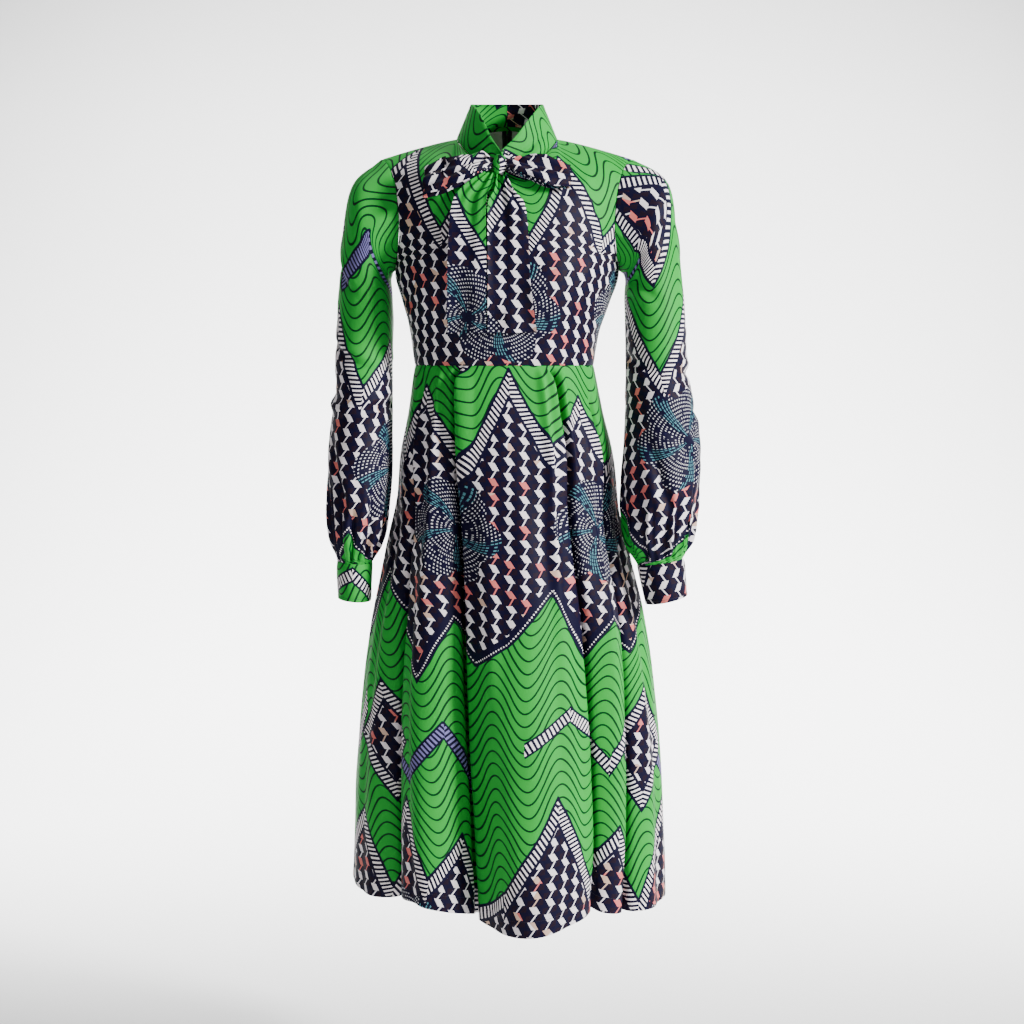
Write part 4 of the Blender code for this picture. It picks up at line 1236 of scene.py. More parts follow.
# ---- sleeves --------------------------------------------------------------------------------
@dataclass(frozen=True)
class Section:
    """Oval section of a sleeve or cuff between its inner and outer edge."""
    t: float
    in_x: float
    in_z: float
    out_x: float
    out_z: float
    mid_y: float
    half_y: float

    def ring(self, turn: Array, side: Side) -> Array:
        """Points round the section.

        Args:
            turn: Degrees, 0 outside and 90 in front.
            side: Side of the wearer.

        Returns:
            Points in metres.
        """
        angle = np.radians(turn)
        x = (self.in_x + self.out_x) / 2 + (self.out_x - self.in_x) / 2 * np.cos(angle)
        z = (self.in_z + self.out_z) / 2 + (self.out_z - self.in_z) / 2 * np.cos(angle)
        y = self.mid_y - self.half_y * np.sin(angle)
        return stacked(side.value * x, y, z)

    def centre(self, side: Side) -> Array:
        """Centre of the section."""
        return np.array([side.value * (self.in_x + self.out_x) / 2, self.mid_y,
                         (self.in_z + self.out_z) / 2])

    def axis(self, side: Side) -> Array:
        """Direction down the sleeve."""
        down = np.array([self.in_z - self.out_z, 0.0, side.value * (self.out_x - self.in_x)])
        return down / np.linalg.norm(down) * -np.sign(down[2])


@dataclass
class Sleeve:
    """Bishop sleeve gathered into its cuff.

    sleeve_degree and cuff_degree are metres of cloth to one degree of turn, beside the seam.
    """
    side: Side
    bodice: Bodice
    sections: tuple[Section, ...]
    cuff_end: Section
    creases: tuple[Crease, ...]
    sleeve_print: Pair
    cuff_print: Pair
    seed: int
    gathers: int = 10
    gather_depth: float = 0.0040
    gather_from: float = 0.76
    gather_ends: float = 0.95
    fine_height: float = 0.0010
    fine_waves: tuple[int, int] = (27, 17)
    pucker_count: int = 17
    crease_share: float = 1.9
    sleeve_length: float = 0.62
    sleeve_degree: float = 0.0012
    cuff_degree: float = 0.0007
    segments: int = 204
    rows: int = 160
    cuff_segments: int = 140
    cuff_rows: int = 22

    def face(self, turn: Array, t: Array) -> Array:
        """Points of the outer face, from the armhole (0) to the cuff seam (1).

        Args:
            turn: Degrees round the sleeve.
            t: Share of the way down.

        Returns:
            Points in metres.
        """
        turn, t = together(turn, t)
        places = np.array([0.0] + [row.t for row in self.sections])
        rings = np.stack([self.bodice.armhole(turn, self.side)]
                         + [row.ring(turn, self.side) for row in self.sections])
        slopes = np.diff(rings, axis=0) / np.diff(places).reshape((-1,) + (1,) * turn.ndim + (1,))
        tangents = np.concatenate([slopes[:1], (slopes[1:] + slopes[:-1]) / 2, slopes[-1:]])
        held = np.clip(t, 0.0, 1.0)
        i = np.clip(np.searchsorted(places, held, side="right") - 1, 0, len(places) - 2)
        run = (places[i + 1] - places[i])[..., None]

        def pick(stack: Array, index: Array) -> Array:
            """Entries of a stack of rings."""
            return np.take_along_axis(stack, index[None, ..., None], axis=0)[0]
        share = ((held - places[i]) / (places[i + 1] - places[i]))[..., None]
        point = hermite(share, pick(rings, i), pick(rings, i + 1),
                        run * pick(tangents, i), run * pick(tangents, i + 1))
        angle = np.radians(turn)
        out = stacked(self.side.value * np.cos(angle), -np.sin(angle), 0 * angle)
        return point + self.gathered(angle, held)[..., None] * out

    def gathered(self, angle: Array, t: Array) -> Array:
        """Height of the gathers above the cuff.

        Args:
            angle: Round the sleeve, in radians.
            t: Share of the way down.

        Returns:
            Heights in metres.
        """
        ended = smooth((t - self.gather_ends) / (1.0 - self.gather_ends))
        swell = smooth((t - self.gather_from) / 0.16) * (1.0 - ended)
        phase = 1.7 * self.side.value
        main = self.gather_depth * swell * np.cos(self.gathers * angle)
        close = smooth((t - 0.80) / 0.16) * (1.0 - smooth((t - 0.988) / 0.012))
        many, fewer = self.fine_waves
        fine = np.cos(many * angle + 1.5 * np.sin(3 * angle + phase)) + 0.6 * np.cos(fewer * angle + phase)
        uneven = 0.6 + 0.4 * np.sin(2 * angle + phase)
        return main + self.fine_height * close * fine * uneven + self.puckers(angle, t)

    def puckers(self, angle: Array, t: Array) -> Array:
        """Height of the narrow grooves pinched in by the cuff seam.

        Args:
            angle: Round the sleeve, in radians.
            t: Share of the way down.

        Returns:
            Heights in metres, below 0.
        """
        draw = np.random.default_rng(self.seed + 7)
        total = np.zeros(angle.shape)
        for number in range(self.pucker_count):
            at = math.tau * (number + draw.uniform(-0.3, 0.3)) / self.pucker_count
            start, depth, width = draw.uniform((0.76, 0.0036, 0.055), (0.90, 0.0070, 0.095))
            off = (angle - at - 0.6 * (1.0 - t) * draw.normal() + math.pi) % math.tau - math.pi
            total = total - depth * smooth((t - start) / 0.08) * bell(off, width)
        return total * (1.0 - smooth((t - 0.984) / 0.016))

    def centre(self, t: Array) -> Array:
        """Centre line at the levels t."""
        mids, places = zip(*((row.centre(self.side), row.t) for row in self.sections))
        return stacked(*(np.interp(t, places, axis) for axis in np.transpose(mids)))

    def sleeve_shell(self) -> ClothShell:
        """The sleeve from its armhole seam to the cuff; its own seam runs underneath.

        Returns:
            The shell.
        """
        turn, t = np.meshgrid(np.linspace(SEAM_TURN, SEAM_TURN + 360.0, self.segments + 1),
                              spread(0.0, 1.0, self.rows, 0.002))
        outer = self.face(turn, t)
        away = surface_normals(self.face, turn, t, lambda p: p - self.centre(t), TURN_SCALE)
        angle = np.radians(turn)
        radial = stacked(np.full(turn.shape, 0.25 * self.side.value), -np.sin(angle), np.cos(angle))
        near_armhole = (1.0 - smooth(t / 0.02))[..., None]
        away = unit(away * (1.0 - near_armhole) + unit(radial) * near_armhole)
        level = square_to(self.sections[-1].axis(self.side), away)
        away = np.where((t >= 1.0)[..., None], level, away)
        cloth = flat_cloth(outer, self.segments // 2)
        relief = Wrinkles(self.seed, height=0.0006, lean=60.0).relief(cloth)
        relief = relief + self.crease_share * sum(crease.height(cloth) for crease in self.creases)
        to_seam = np.minimum(turn - SEAM_TURN, SEAM_TURN + 360.0 - turn)
        clear = smooth(t / 0.04) * smooth((1.0 - t) / 0.05) * smooth(to_seam / 14.0)
        dip = (seam_dip(t * self.sleeve_length) + seam_dip((1.0 - t) * self.sleeve_length)
               + seam_dip(to_seam * self.sleeve_degree))
        outer = outer + away * (relief * clear + dip)[..., None]
        outer[0] += unit(outer[1] - outer[0]) * SEAM_GAP
        settle_edges(outer, ((-1, "rows"),))
        outer[:, -1], away[:, -1] = outer[:, 0], away[:, 0]
        return ClothShell("sleeve_" + self.side.label, outer, away, cloth, tube=True)

    def cuff_shell(self) -> ClothShell:
        """The plain band below the sleeve, with a folded lower edge.

        Returns:
            The shell.
        """
        first, last = self.sections[-1], self.cuff_end
        share = spread(0.0, 1.0, self.cuff_rows, 0.02)[:, None, None]
        turn = np.linspace(SEAM_TURN, SEAM_TURN + 360.0, self.cuff_segments + 1)
        outer = first.ring(turn, self.side) * (1 - share) + last.ring(turn, self.side) * share
        angle = np.radians(turn)
        wide, deep = (first.out_x - first.in_x) / 2, first.half_y
        away = unit(stacked(self.side.value * np.cos(angle) * deep, -np.sin(angle) * wide, 0 * angle))
        axis = first.axis(self.side)
        away = np.broadcast_to(square_to(axis, away), outer.shape).copy()
        cloth = flat_cloth(outer, self.cuff_segments // 2)
        down = share[..., 0] * float(cloth[-1, 0, 1])
        long = float(cloth[-1, 0, 1])
        relief = Wrinkles(self.seed + 40, height=0.0004, scatter=60.0).relief(cloth)
        to_seam = np.minimum(turn - SEAM_TURN, SEAM_TURN + 360.0 - turn)
        clear = smooth(down / 0.008) * smooth((long - down) / 0.008) * smooth(to_seam / 16.0)
        dip = seam_dip(down) + 0.6 * seam_dip(long - down) + seam_dip(to_seam * self.cuff_degree)
        stitched = -0.0003 * bell(long - down - CUFF_STITCH, 0.0012)
        outer = outer + away * (0.0005 + relief * clear + dip + stitched)[..., None]
        outer[0] += axis * SEAM_GAP
        outer[:, -1], away[:, -1] = outer[:, 0], away[:, 0]
        return ClothShell("cuff_" + self.side.label, outer, away, cloth, tube=True,
                          thickness=DOUBLE_THICKNESS)

    def build(self, wardrobe: Wardrobe) -> None:
        """Make the sleeve and its cuff.

        Args:
            wardrobe: Takes the pieces.
        """
        sleeve, cuff = self.sleeve_shell(), self.cuff_shell()
        wardrobe.sheet(sleeve, Held.GATHERED, ["bodice_front", cuff.node], self.sleeve_print)
        wardrobe.sheet(cuff, Held.STRETCHED, [sleeve.node], self.cuff_print)


# ---- skirt ----------------------------------------------------------------------------------
@dataclass(frozen=True)
class SkirtLevel:
    """One level of the skirt, w running from the waist to the hem."""
    w: float
    mid_x: float
    half: float
    mid_y: float
    front_y: float
    back_y: float


@dataclass(frozen=True)
class Trough:
    """A hollow between two hanging folds, angles in degrees from the front to the wearer's left."""
    at_waist: float
    at_hem: float
    depth: float
    width_at_waist: float
    width_at_hem: float
    start: float


@dataclass(frozen=True)
class Lift:
    """A stretch of hem that hangs higher."""
    at: float
    rise: float
    width: float


@dataclass(frozen=True)
class Fold:
    """A small hanging fold: turn at the waist and hem, half width in degrees, height, its reach, and lean.

    lean is how far its crest is pushed round the skirt, over the hollow beside it.
    """
    at_waist: float
    at_hem: float
    width: float
    height: float
    first: float
    last: float
    lean: float = 0.0

    def form(self, turn: Array, w: Array) -> Array:
        """Shape of the fold.

        Args:
            turn: Degrees round the skirt.
            w: Share of the way down.

        Returns:
            Shares of its full height.
        """
        centre = self.at_waist + (self.at_hem - self.at_waist) * np.maximum(w, 0.0) ** TROUGH_RUN
        reach = smooth((w - self.first) / 0.12 + 0.5) * (1.0 - smooth((w - self.last) / 0.20 + 0.5))
        return reach * bell(turn_between(turn, centre), self.width)


@dataclass
class Skirt:
    """The flared skirt in three panels.

    degree is metres of cloth to one degree of turn beside a seam, and quarter those of a quarter turn.
    """
    waist_z: float = -0.322
    hem_z: float = -1.106
    levels: tuple[SkirtLevel, ...] = table(
        SkirtLevel, (0.0, -0.004, 0.129, 0.0, -0.098, 0.086), (0.08, -0.002, 0.14, 0.0, -0.112, 0.102),
        (0.18, 0.0, 0.156, 0.005, -0.128, 0.128), (0.26, 0.0, 0.16, 0.01, -0.138, 0.146),
        (0.36, 0.001, 0.177, 0.018, -0.15, 0.168), (0.46, 0.003, 0.196, 0.026, -0.162, 0.19),
        (0.6, 0.003, 0.215, 0.036, -0.178, 0.218), (0.8, 0.003, 0.232, 0.048, -0.196, 0.25),
        (1.0, 0.003, 0.24, 0.058, -0.21, 0.275))
    troughs: tuple[Trough, ...] = table(
        Trough, (-31, -13, 0.08, 5, 12, 0.0), (31, 36, 0.045, 5, 10, 0.0), (64, 52, 0.034, 5, 7, 0.1),
        (-62, -50, 0.05, 6, 9, 0.08), (-96, -92, 0.04, 8, 11, 0.3), (96, 98, 0.045, 8, 12, 0.25),
        (-132, -130, 0.055, 7, 11, 0.05), (134, 132, 0.05, 7, 11, 0.05), (-166, -162, 0.036, 6, 8, 0.2),
        (164, 166, 0.04, 6, 8, 0.2))
    pinch: float = 0.55
    growth: float = 0.75
    lifts: tuple[Lift, ...] = table(
        Lift, (-92, 0.04, 30), (-36, 0.034, 20), (30, 0.02, 16), (95, 0.006, 30))
    folds: tuple[Fold, ...] = table(
        Fold, (-31, -13, 2.7, -0.028, 0.0, 1.4, 0.004), (-26.3, -8.3, 2.7, 0.01, 0.0, 1.4, -0.0125),
        (31, 36, 2.5, -0.021, 0.0, 1.4, -0.003), (26.6, 31.6, 2.5, 0.009, 0.0, 0.95, 0.009),
        (64, 52, 2.4, -0.016, 0.08, 1.4), (60, 48, 2.4, 0.005, 0.1, 1.4, 0.006),
        (-62, -50, 2.4, -0.017, 0.06, 1.4), (-58, -46, 2.4, 0.0055, 0.08, 1.4, -0.006),
        (-132, -130, 2.6, -0.011, 0.05, 1.4), (-127, -125, 2.6, 0.005, 0.05, 1.2, -0.006),
        (134, 132, 2.6, -0.01, 0.05, 1.4), (129, 127, 2.6, 0.0045, 0.05, 1.4, 0.0055),
        (-166, -162, 2.2, -0.0045, 0.2, 1.4), (164, 166, 2.2, -0.0045, 0.2, 1.4),
        (-44, -34, 3.0, 0.007, 0.0, 0.45), (-22, -16, 2.4, 0.003, 0.0, 0.3),
        (22, 23, 2.0, 0.0065, 0.0, 0.38, 0.003), (37, 42, 2.4, 0.0065, 0.0, 0.42),
        (6, 9, 5.0, 0.003, 0.25, 1.4), (-2, -4, 4.0, -0.003, 0.4, 1.4), (16, 20, 3.5, -0.0035, 0.3, 1.4),
        (-60, -36, 3.0, -0.008, 0.42, 1.4), (-74, -66, 3.0, -0.0045, 0.3, 1.4),
        (-84, -78, 3.0, 0.0035, 0.25, 1.4), (50, 45, 2.6, 0.004, 0.15, 1.4),
        (74, 68, 3.2, -0.005, 0.3, 1.4), (84, 82, 3.2, 0.0035, 0.2, 0.8),
        (108, 112, 3.5, -0.004, 0.2, 1.4), (122, 121, 3.0, 0.004, 0.0, 0.5),
        (148, 150, 4.0, -0.0045, 0.25, 1.4), (156, 157, 3.0, 0.0035, 0.05, 0.6),
        (-110, -112, 3.5, -0.0045, 0.25, 1.4), (-120, -121, 3.0, 0.004, 0.0, 0.45),
        (-148, -146, 4.0, -0.004, 0.3, 1.4), (-156, -157, 3.0, 0.004, 0.05, 0.55))
    rows: int = 144
    degree: float = 0.0035
    quarter: float = 0.34
    hem_depth: float = 0.0005
    steps_per_quarter: int = 126
    seed: int = 11

    def face(self, turn: Array, w: Array) -> Array:
        """Points of the outer face.

        Args:
            turn: Degrees from the front to the wearer's left.
            w: Share of the way down.

        Returns:
            Points in metres.
        """
        turn, w = together(turn, w)
        mid_x, half, mid_y, front_y, back_y = (
            column(self.levels, "w", name, w) for name in ("mid_x", "half", "mid_y", "front_y", "back_y"))
        depth, pinch = np.zeros(turn.shape), np.zeros(turn.shape)
        for trough in self.troughs:
            centre = trough.at_waist + (trough.at_hem - trough.at_waist) * np.maximum(w, 0.0) ** TROUGH_RUN
            width = trough.width_at_waist + (trough.width_at_hem - trough.width_at_waist) * w
            off = turn_between(turn, centre)
            grown = smooth((w - trough.start) / (1.0 - trough.start)) ** self.growth
            form = grown * np.exp(-(off / width)**2)
            depth = depth + trough.depth * form
            pinch = pinch - self.pinch * off * form
        angle = np.radians(turn + pinch)
        x = half * np.sin(angle)
        y = -np.where(np.cos(angle) > 0, mid_y - front_y, back_y - mid_y) * np.cos(angle)
        reach = np.maximum(np.hypot(x, y), 1e-6)
        keep = 1.0 - depth / reach
        lift = sum(rise.rise * np.exp(-(turn_between(turn, rise.at) / rise.width)**2)
                   for rise in self.lifts)
        z = self.waist_z + (self.hem_z + lift - self.waist_z) * w
        return stacked(mid_x + x * keep, mid_y + y * keep, z)

    def away(self, turn: Array, w: Array) -> Array:
        """Normals of the outer face, level at the waist seam.

        Args:
            turn: Degrees round the skirt.
            w: Share of the way down.

        Returns:
            Unit normals.
        """
        found = surface_normals(self.face, turn, w, lambda p: (p - SKIRT_AXIS) * LEVEL, TURN_SCALE)
        found[..., 2] = np.where(w <= 0.0, 0.0, found[..., 2])
        return unit(found)

    def panel_shell(self, name: str, first: float, last: float) -> ClothShell:
        """One panel between two seams, its straight grain midway.

        Args:
            name: Its node.
            first: Turn of its first seam.
            last: Turn of its last seam.

        Returns:
            The shell.
        """
        steps = int(round((last - first) / 90.0 * self.steps_per_quarter))
        turns = spread(first, last, steps, 0.35)
        turn, w = np.meshgrid(turns, spread(0.0, 1.0, self.rows, 0.0016))
        outer = self.face(turn, w)
        away = self.away(turn, w)
        cloth = flat_cloth(outer, int(np.argmin(np.abs(turns - (first + last) / 2))))
        to_seam = np.minimum(turn - first, last - turn)
        relief = sum(fold.height * fold.form(turn, w) for fold in self.folds)
        push = sum(fold.lean * fold.form(turn, w) for fold in self.folds) * smooth(to_seam / 9.0)
        round_place = stacked(turn / 90.0 * self.quarter, cloth[..., 1])
        sideways = unit(self.face(turn + 0.05, w) - self.face(turn - 0.05, w))
        relief = relief + Wrinkles(self.seed, 0.0007, 0.045, 0.18, 90.0, 20.0).relief(round_place)
        clear = smooth(w / 0.025) * (0.3 + 0.7 * smooth(to_seam / 4.0))
        long = float(cloth[-1, :, 1].mean())
        hem_line = -self.hem_depth * bell(cloth[..., 1] - long + HEM, 0.0030)
        dip = seam_dip(cloth[..., 1]) + seam_dip(to_seam * self.degree) + hem_line
        outer = outer + away * (relief * clear + dip)[..., None] + sideways * (push * clear)[..., None]
        settle_edges(outer, ((0, "rows"), (0, "columns"), (-1, "columns")))
        return ClothShell(name, outer, away, cloth)

    def build(self, wardrobe: Wardrobe) -> None:
        """Make the three panels.

        Args:
            wardrobe: Takes the pieces.
        """
        for panel, carrier, first, last, print_at in (
                ("front", "bodice_front", -90.0, 90.0, (0.330, 0.385)),
                ("back_left", "bodice_back_left", 90.0, 180.0, (0.120, 0.400)),
                ("back_right", "bodice_back_right", -180.0, -90.0, (0.430, 0.400))):
            shell = self.panel_shell("skirt_" + panel, first, last)
            wardrobe.sheet(shell, Held.HUNG, [carrier], print_at)


# ---- collar ---------------------------------------------------------------------------------
@dataclass(frozen=True)
class CollarEdge:
    """Point of the collar's upper edge, turn running from the front round to the back."""
    turn: float
    x: float
    y: float
    z: float


@dataclass
class Collar:
    """Funnel collar in two halves that open in a V.

    height is metres of cloth from seam to fold, degree those of one degree of turn.
    """
    bodice: Bodice
    top: tuple[CollarEdge, ...] = table(
        CollarEdge, (0, 0.0, -0.083, -0.027), (22, 0.016, -0.074, -0.008), (45, 0.034, -0.056, 0.022),
        (65, 0.046, -0.034, 0.04), (90, 0.052, -0.003, 0.048), (135, 0.039, 0.036, 0.053),
        (180, 0.0, 0.05, 0.055))
    puff: float = 0.0020
    roll: float = 0.0046
    groove: float = 0.0026
    v_shift: float = -0.008
    v_shift_turn: float = 60.0
    height: float = 0.06
    degree: float = 0.0010
    fold_depth: float = 0.0004
    steps: int = 110
    rows: int = 34
    prints: dict[Side, Pair] = by_side((0.486, 0.190), (0.435, 0.425))

    def face(self, turn: Array, height: Array, side: Side) -> Array:
        """Points of the outer face.

        Args:
            turn: Degrees from the front to the back.
            height: Share of the way up from the neck seam.
            side: Which half.

        Returns:
            Points in metres.
        """
        turn, height = together(turn, height)
        on_front = turn <= 90.0
        u = side.value * self.bodice.neck_u * np.where(on_front, turn, 180.0 - turn) / 90.0
        base = np.where(on_front[..., None], self.bodice.face(u, 1.0, Panel.FRONT),
                        self.bodice.face(u, 1.0, Panel.BACK))
        top = np.stack([column(self.top, "turn", name, turn) for name in ("x", "y", "z")], axis=-1)
        top[..., 0] = side.value * top[..., 0] + self.v_shift * (1.0 - smooth(turn / self.v_shift_turn))
        return base + (top - base) * height[..., None]

    def half_shell(self, side: Side) -> ClothShell:
        """One half of the collar.

        Args:
            side: Which half.

        Returns:
            The shell.
        """
        turn, height = np.meshgrid(spread(0.0, 180.0, self.steps, 0.5),
                                   spread(1.0, 0.0, self.rows, 0.012))
        outer = self.face(turn, height, side)
        away = surface_normals(lambda q, h: self.face(q, h, side), np.clip(turn, 0.5, 179.5), height,
                               lambda p: p - np.array([0.0, 0.0, -0.05]), TURN_SCALE)
        for end, direction in ((turn, (0.0, -0.98, -0.20)), (180.0 - turn, (0.0, 0.91, 0.41))):
            ease = (1.0 - smooth(end / 10.0))[..., None]
            away = unit(away * (1.0 - ease) + np.array(direction) * ease)
        cloth = flat_cloth(outer, 0)
        relief = Wrinkles(70 + int(side.value), height=0.0004, lean=20.0).relief(cloth)
        puff = self.puff * bell(turn - 34.0, 26.0) * bell(height - 0.35, 0.30)
        if side is Side.LEFT:
            roll = self.roll * bell(turn - 24.0, 22.0) * bell(height - 0.16, 0.14)
            puff = puff + roll - self.groove * bell(turn - 30.0, 24.0) * bell(height - 0.42, 0.08)
        clear = smooth(height / 0.10) * smooth((1.0 - height) / 0.10)
        clear = clear * smooth(turn / 7.0) * smooth((180.0 - turn) / 7.0)
        dip = (seam_dip(height * self.height) + seam_dip((180.0 - turn) * self.degree)
               - self.fold_depth * bell(1.0 - height, 0.04))
        outer = outer + away * ((relief + puff) * clear + dip)[..., None]
        outer[-1] += unit(outer[-2] - outer[-1]) * SEAM_GAP
        settle_edges(outer, ((0, "columns"), (-1, "columns")))
        return ClothShell("collar_" + side.label, outer, away, cloth,
                          thickness=DOUBLE_THICKNESS)

    def build(self, wardrobe: Wardrobe) -> None:
        """Make both halves.

        Args:
            wardrobe: Takes the pieces.
        """
        for side in Side:
            wardrobe.sheet(self.half_shell(side), Held.FOLDED,
                           ["bodice_front", "bodice_back_" + side.label], self.prints[side])


# ---- bow ------------------------------------------------------------------------------------
@dataclass(frozen=True)
class TailEdge:
    """Left and right edge of a hanging tie end at one drop below the neck points."""
    drop: float
    x_from: float
    x_to: float


@dataclass(frozen=True)
class LoopForm:
    """Root and tip of one loop of the bow, and how far its two layers stand off the chest."""
    root_x: float
    root_z: float
    tip_x: float
    tip_z: float
    root_height: float
    tip_height: float
    back: float
    front: float


@dataclass
class Bow:
    """The tied ends of the collar: knot, two loops and two hanging tails."""
    bodice: Bodice
    tails: dict[Side, tuple[TailEdge, ...]] = by_side(
        table(TailEdge, (0.06, -0.03, -0.016), (0.074, -0.054, -0.019), (0.092, -0.07, -0.0275),
              (0.12, -0.0765, -0.029), (0.275, -0.0785, -0.029)),
        table(TailEdge, (0.062, -0.0135, 0.0), (0.08, -0.016, 0.008), (0.1, -0.0255, 0.024),
              (0.122, -0.0265, 0.028), (0.2, -0.0265, 0.032), (0.275, -0.026, 0.04)))
    loops: dict[Side, LoopForm] = by_side(
        LoopForm(-0.0194, -0.047, -0.103, -0.072, 0.018, 0.042, 0.006, 0.019),
        LoopForm(-0.0004, -0.048, 0.077, -0.068, 0.018, 0.034, 0.006, 0.019))
    knot_at: Pair = (-0.010, -0.045)
    knot_half: Triple = (0.0095, 0.0085, 0.0140)
    knot_raise: float = 0.0105
    tail_off: float = 0.0046
    tail_clear: float = 0.0014
    tail_pleat: float = 0.0027
    tail_fold: float = 0.0019
    tail_curl: float = 0.0034
    tail_pinch: float = 0.040
    loop_pleat: float = 0.0021
    loop_wave: float = 0.0010
    loop_hollow: float = 0.0036
    pleats: dict[Side, float] = by_side(2.6, 3.2)
    loop_pleats: float = 2.6
    tail_rows: int = 120
    tail_columns: int = 44
    loop_steps: int = 48
    loop_turn_steps: int = 18
    loop_rows: int = 40
    tail_prints: dict[Side, Pair] = by_side((0.470, 0.405), (0.062, 0.360))
    loop_prints: dict[Side, Pair] = by_side((0.240, 0.510), (0.060, 0.600))
    knot_print: Pair = (0.300, 0.230)

    def tail(self, side: Side) -> ClothShell:
        """One hanging end, with soft pleats that run down from the knot.

        Args:
            side: Which end.

        Returns:
            The shell.
        """
        rows = self.tails[side]
        down = np.linspace(0.0, 1.0, self.tail_rows + 1) ** 1.15
        drop = rows[0].drop + (rows[-1].drop - rows[0].drop) * down
        left, right = (column(rows, "drop", name, drop) for name in ("x_from", "x_to"))
        share = spread(0.0, 1.0, self.tail_columns, 0.012)[None, :]
        x = left[:, None] + (right - left)[:, None] * share
        point, away = self.bodice.front_at(x, np.broadcast_to(-drop[:, None], x.shape))
        cloth = flat_cloth(point, self.tail_columns // 2)
        pinched = np.exp(-(drop - rows[0].drop) / self.tail_pinch)[:, None]
        wave = self.tail_pleat * pinched * np.cos(math.tau * self.pleats[side] * share + 0.4)
        long_fold = self.tail_fold * np.cos(math.tau * 1.1 * share + 2.4 * down[:, None] + side.value)
        curl = self.tail_curl * (np.abs(share - 0.5) * 2) ** 3 * (0.35 + 0.65 * down[:, None])
        relief = Wrinkles(90 + int(side.value), 0.0006, 0.020, 0.07, 80.0, 25.0).relief(cloth)
        low = TIE_THICKNESS + self.tail_clear
        raised = self.tail_off + wave + curl + relief + long_fold
        raised = low + 0.0004 * np.logaddexp(0.0, (raised - low) / 0.0004)
        outer = point + away * raised[..., None]
        return ClothShell("bow_tail_" + side.label, outer, away, cloth, thickness=TIE_THICKNESS)

    def loop(self, side: Side) -> ClothShell:
        """One loop: the strip goes out in front, turns over at the tip and comes back behind.

        Args:
            side: Which loop.

        Returns:
            The shell.
        """
        form = self.loops[side]
        out = np.linspace(0.0, 1.0, self.loop_steps, endpoint=False)
        middle, half = (form.front + form.back) / 2, (form.front - form.back) / 2
        belly = 0.35 + 0.65 * np.sin(np.pi * np.minimum(out, 0.5))
        bend = np.radians(np.linspace(90.0, -90.0, self.loop_turn_steps + 1))
        along = np.concatenate([out, 1.0 + 0.09 * np.cos(bend), out[::-1]])
        raised = np.concatenate([middle + half * belly, middle + half * np.sin(bend),
                                 middle - half * belly[::-1]])
        front = np.concatenate([np.ones_like(out), np.clip(np.sin(bend), 0, 1), np.zeros_like(out)])
        place = np.clip(along, 0.0, 1.0)
        height = form.root_height + (form.tip_height - form.root_height) * smooth(place * 1.25)
        height = height * (1.0 + 0.05 * np.sin(9.0 * place + side.value) - 0.16 * smooth((place - 0.7) / 0.3))
        share = spread(0.5, -0.5, self.loop_rows, 0.012)[:, None]
        across = share * height[None, :]
        x = np.broadcast_to(form.root_x + along * (form.tip_x - form.root_x), across.shape)
        z = form.root_z + (form.tip_z - form.root_z) * along[None, :] + across
        point, chest = self.bodice.front_at(x, z)
        pinched = np.exp(-place / 0.45)[None, :]
        fan = share * (1.0 + 0.5 * place[None, :])
        pleat = self.loop_pleat * pinched * np.cos(math.tau * self.loop_pleats * fan + 0.6 * side.value)
        pleat = pleat + self.loop_wave * np.cos(math.tau * (1.7 * fan + 1.2 * place[None, :]) + side.value)
        hollow = self.loop_hollow * front[None, :] * bell(share - 0.08 - 0.16 * place[None, :], 0.14)
        surface = point + chest * (raised[None, :] + pleat - hollow * (1 - 0.6 * pinched))[..., None]
        cloth = flat_cloth(surface, 0)
        away = unit(np.cross(np.gradient(surface, axis=1), np.gradient(surface, axis=0)))
        away = away * np.sign(np.sum(away[:, 10] * chest[:, 10], axis=-1).sum())
        relief = Wrinkles(120 + int(side.value), 0.0007, 0.014, 0.045, 20.0).relief(cloth)
        surface = surface + away * relief[..., None]
        return ClothShell("bow_loop_" + side.label, surface, away, cloth,
                          thickness=TIE_THICKNESS)

    def knot(self) -> ClothShell:
        """The knot: a band wrapped round the ties, with folds across it.

        Returns:
            The shell.
        """
        at_x, at_z = self.knot_at
        wide, deep, tall = self.knot_half
        point, away = self.bodice.front_at(np.array([at_x]), np.array([at_z - tall / 2]))
        centre = np.array([at_x, (point[0] + away[0] * self.knot_raise)[1], at_z])
        turn, lift = np.meshgrid(np.radians(np.linspace(0.0, 360.0, 73)),
                                 np.radians(np.linspace(80.0, -80.0, 45)))
        ball = stacked(np.cos(lift) ** 0.7 * np.sin(turn), -np.cos(lift) ** 0.7 * np.cos(turn),
                       np.sin(lift))
        folds = 0.97 + 0.05 * np.cos(6 * lift + 1.3 * np.sin(turn)) + 0.02 * np.cos(3 * turn + 1.0)
        outer = centre + ball * np.array([wide, deep, tall]) * folds[..., None]
        outer[:, -1] = outer[:, 0]
        return ClothShell("bow_knot", outer, unit(ball), flat_cloth(outer, 36), tube=True,
                          thickness=TIE_THICKNESS)

    def build(self, wardrobe: Wardrobe) -> None:
        """Make the bow.

        Args:
            wardrobe: Takes the pieces.
        """
        for side in Side:
            wardrobe.sheet(self.tail(side), Held.HUNG, ["bow_knot"], self.tail_prints[side])
            wardrobe.sheet(self.loop(side), Held.FOLDED, ["bow_knot"], self.loop_prints[side])
        wardrobe.sheet(self.knot(), Held.FOLDED, ["collar_right"], self.knot_print)


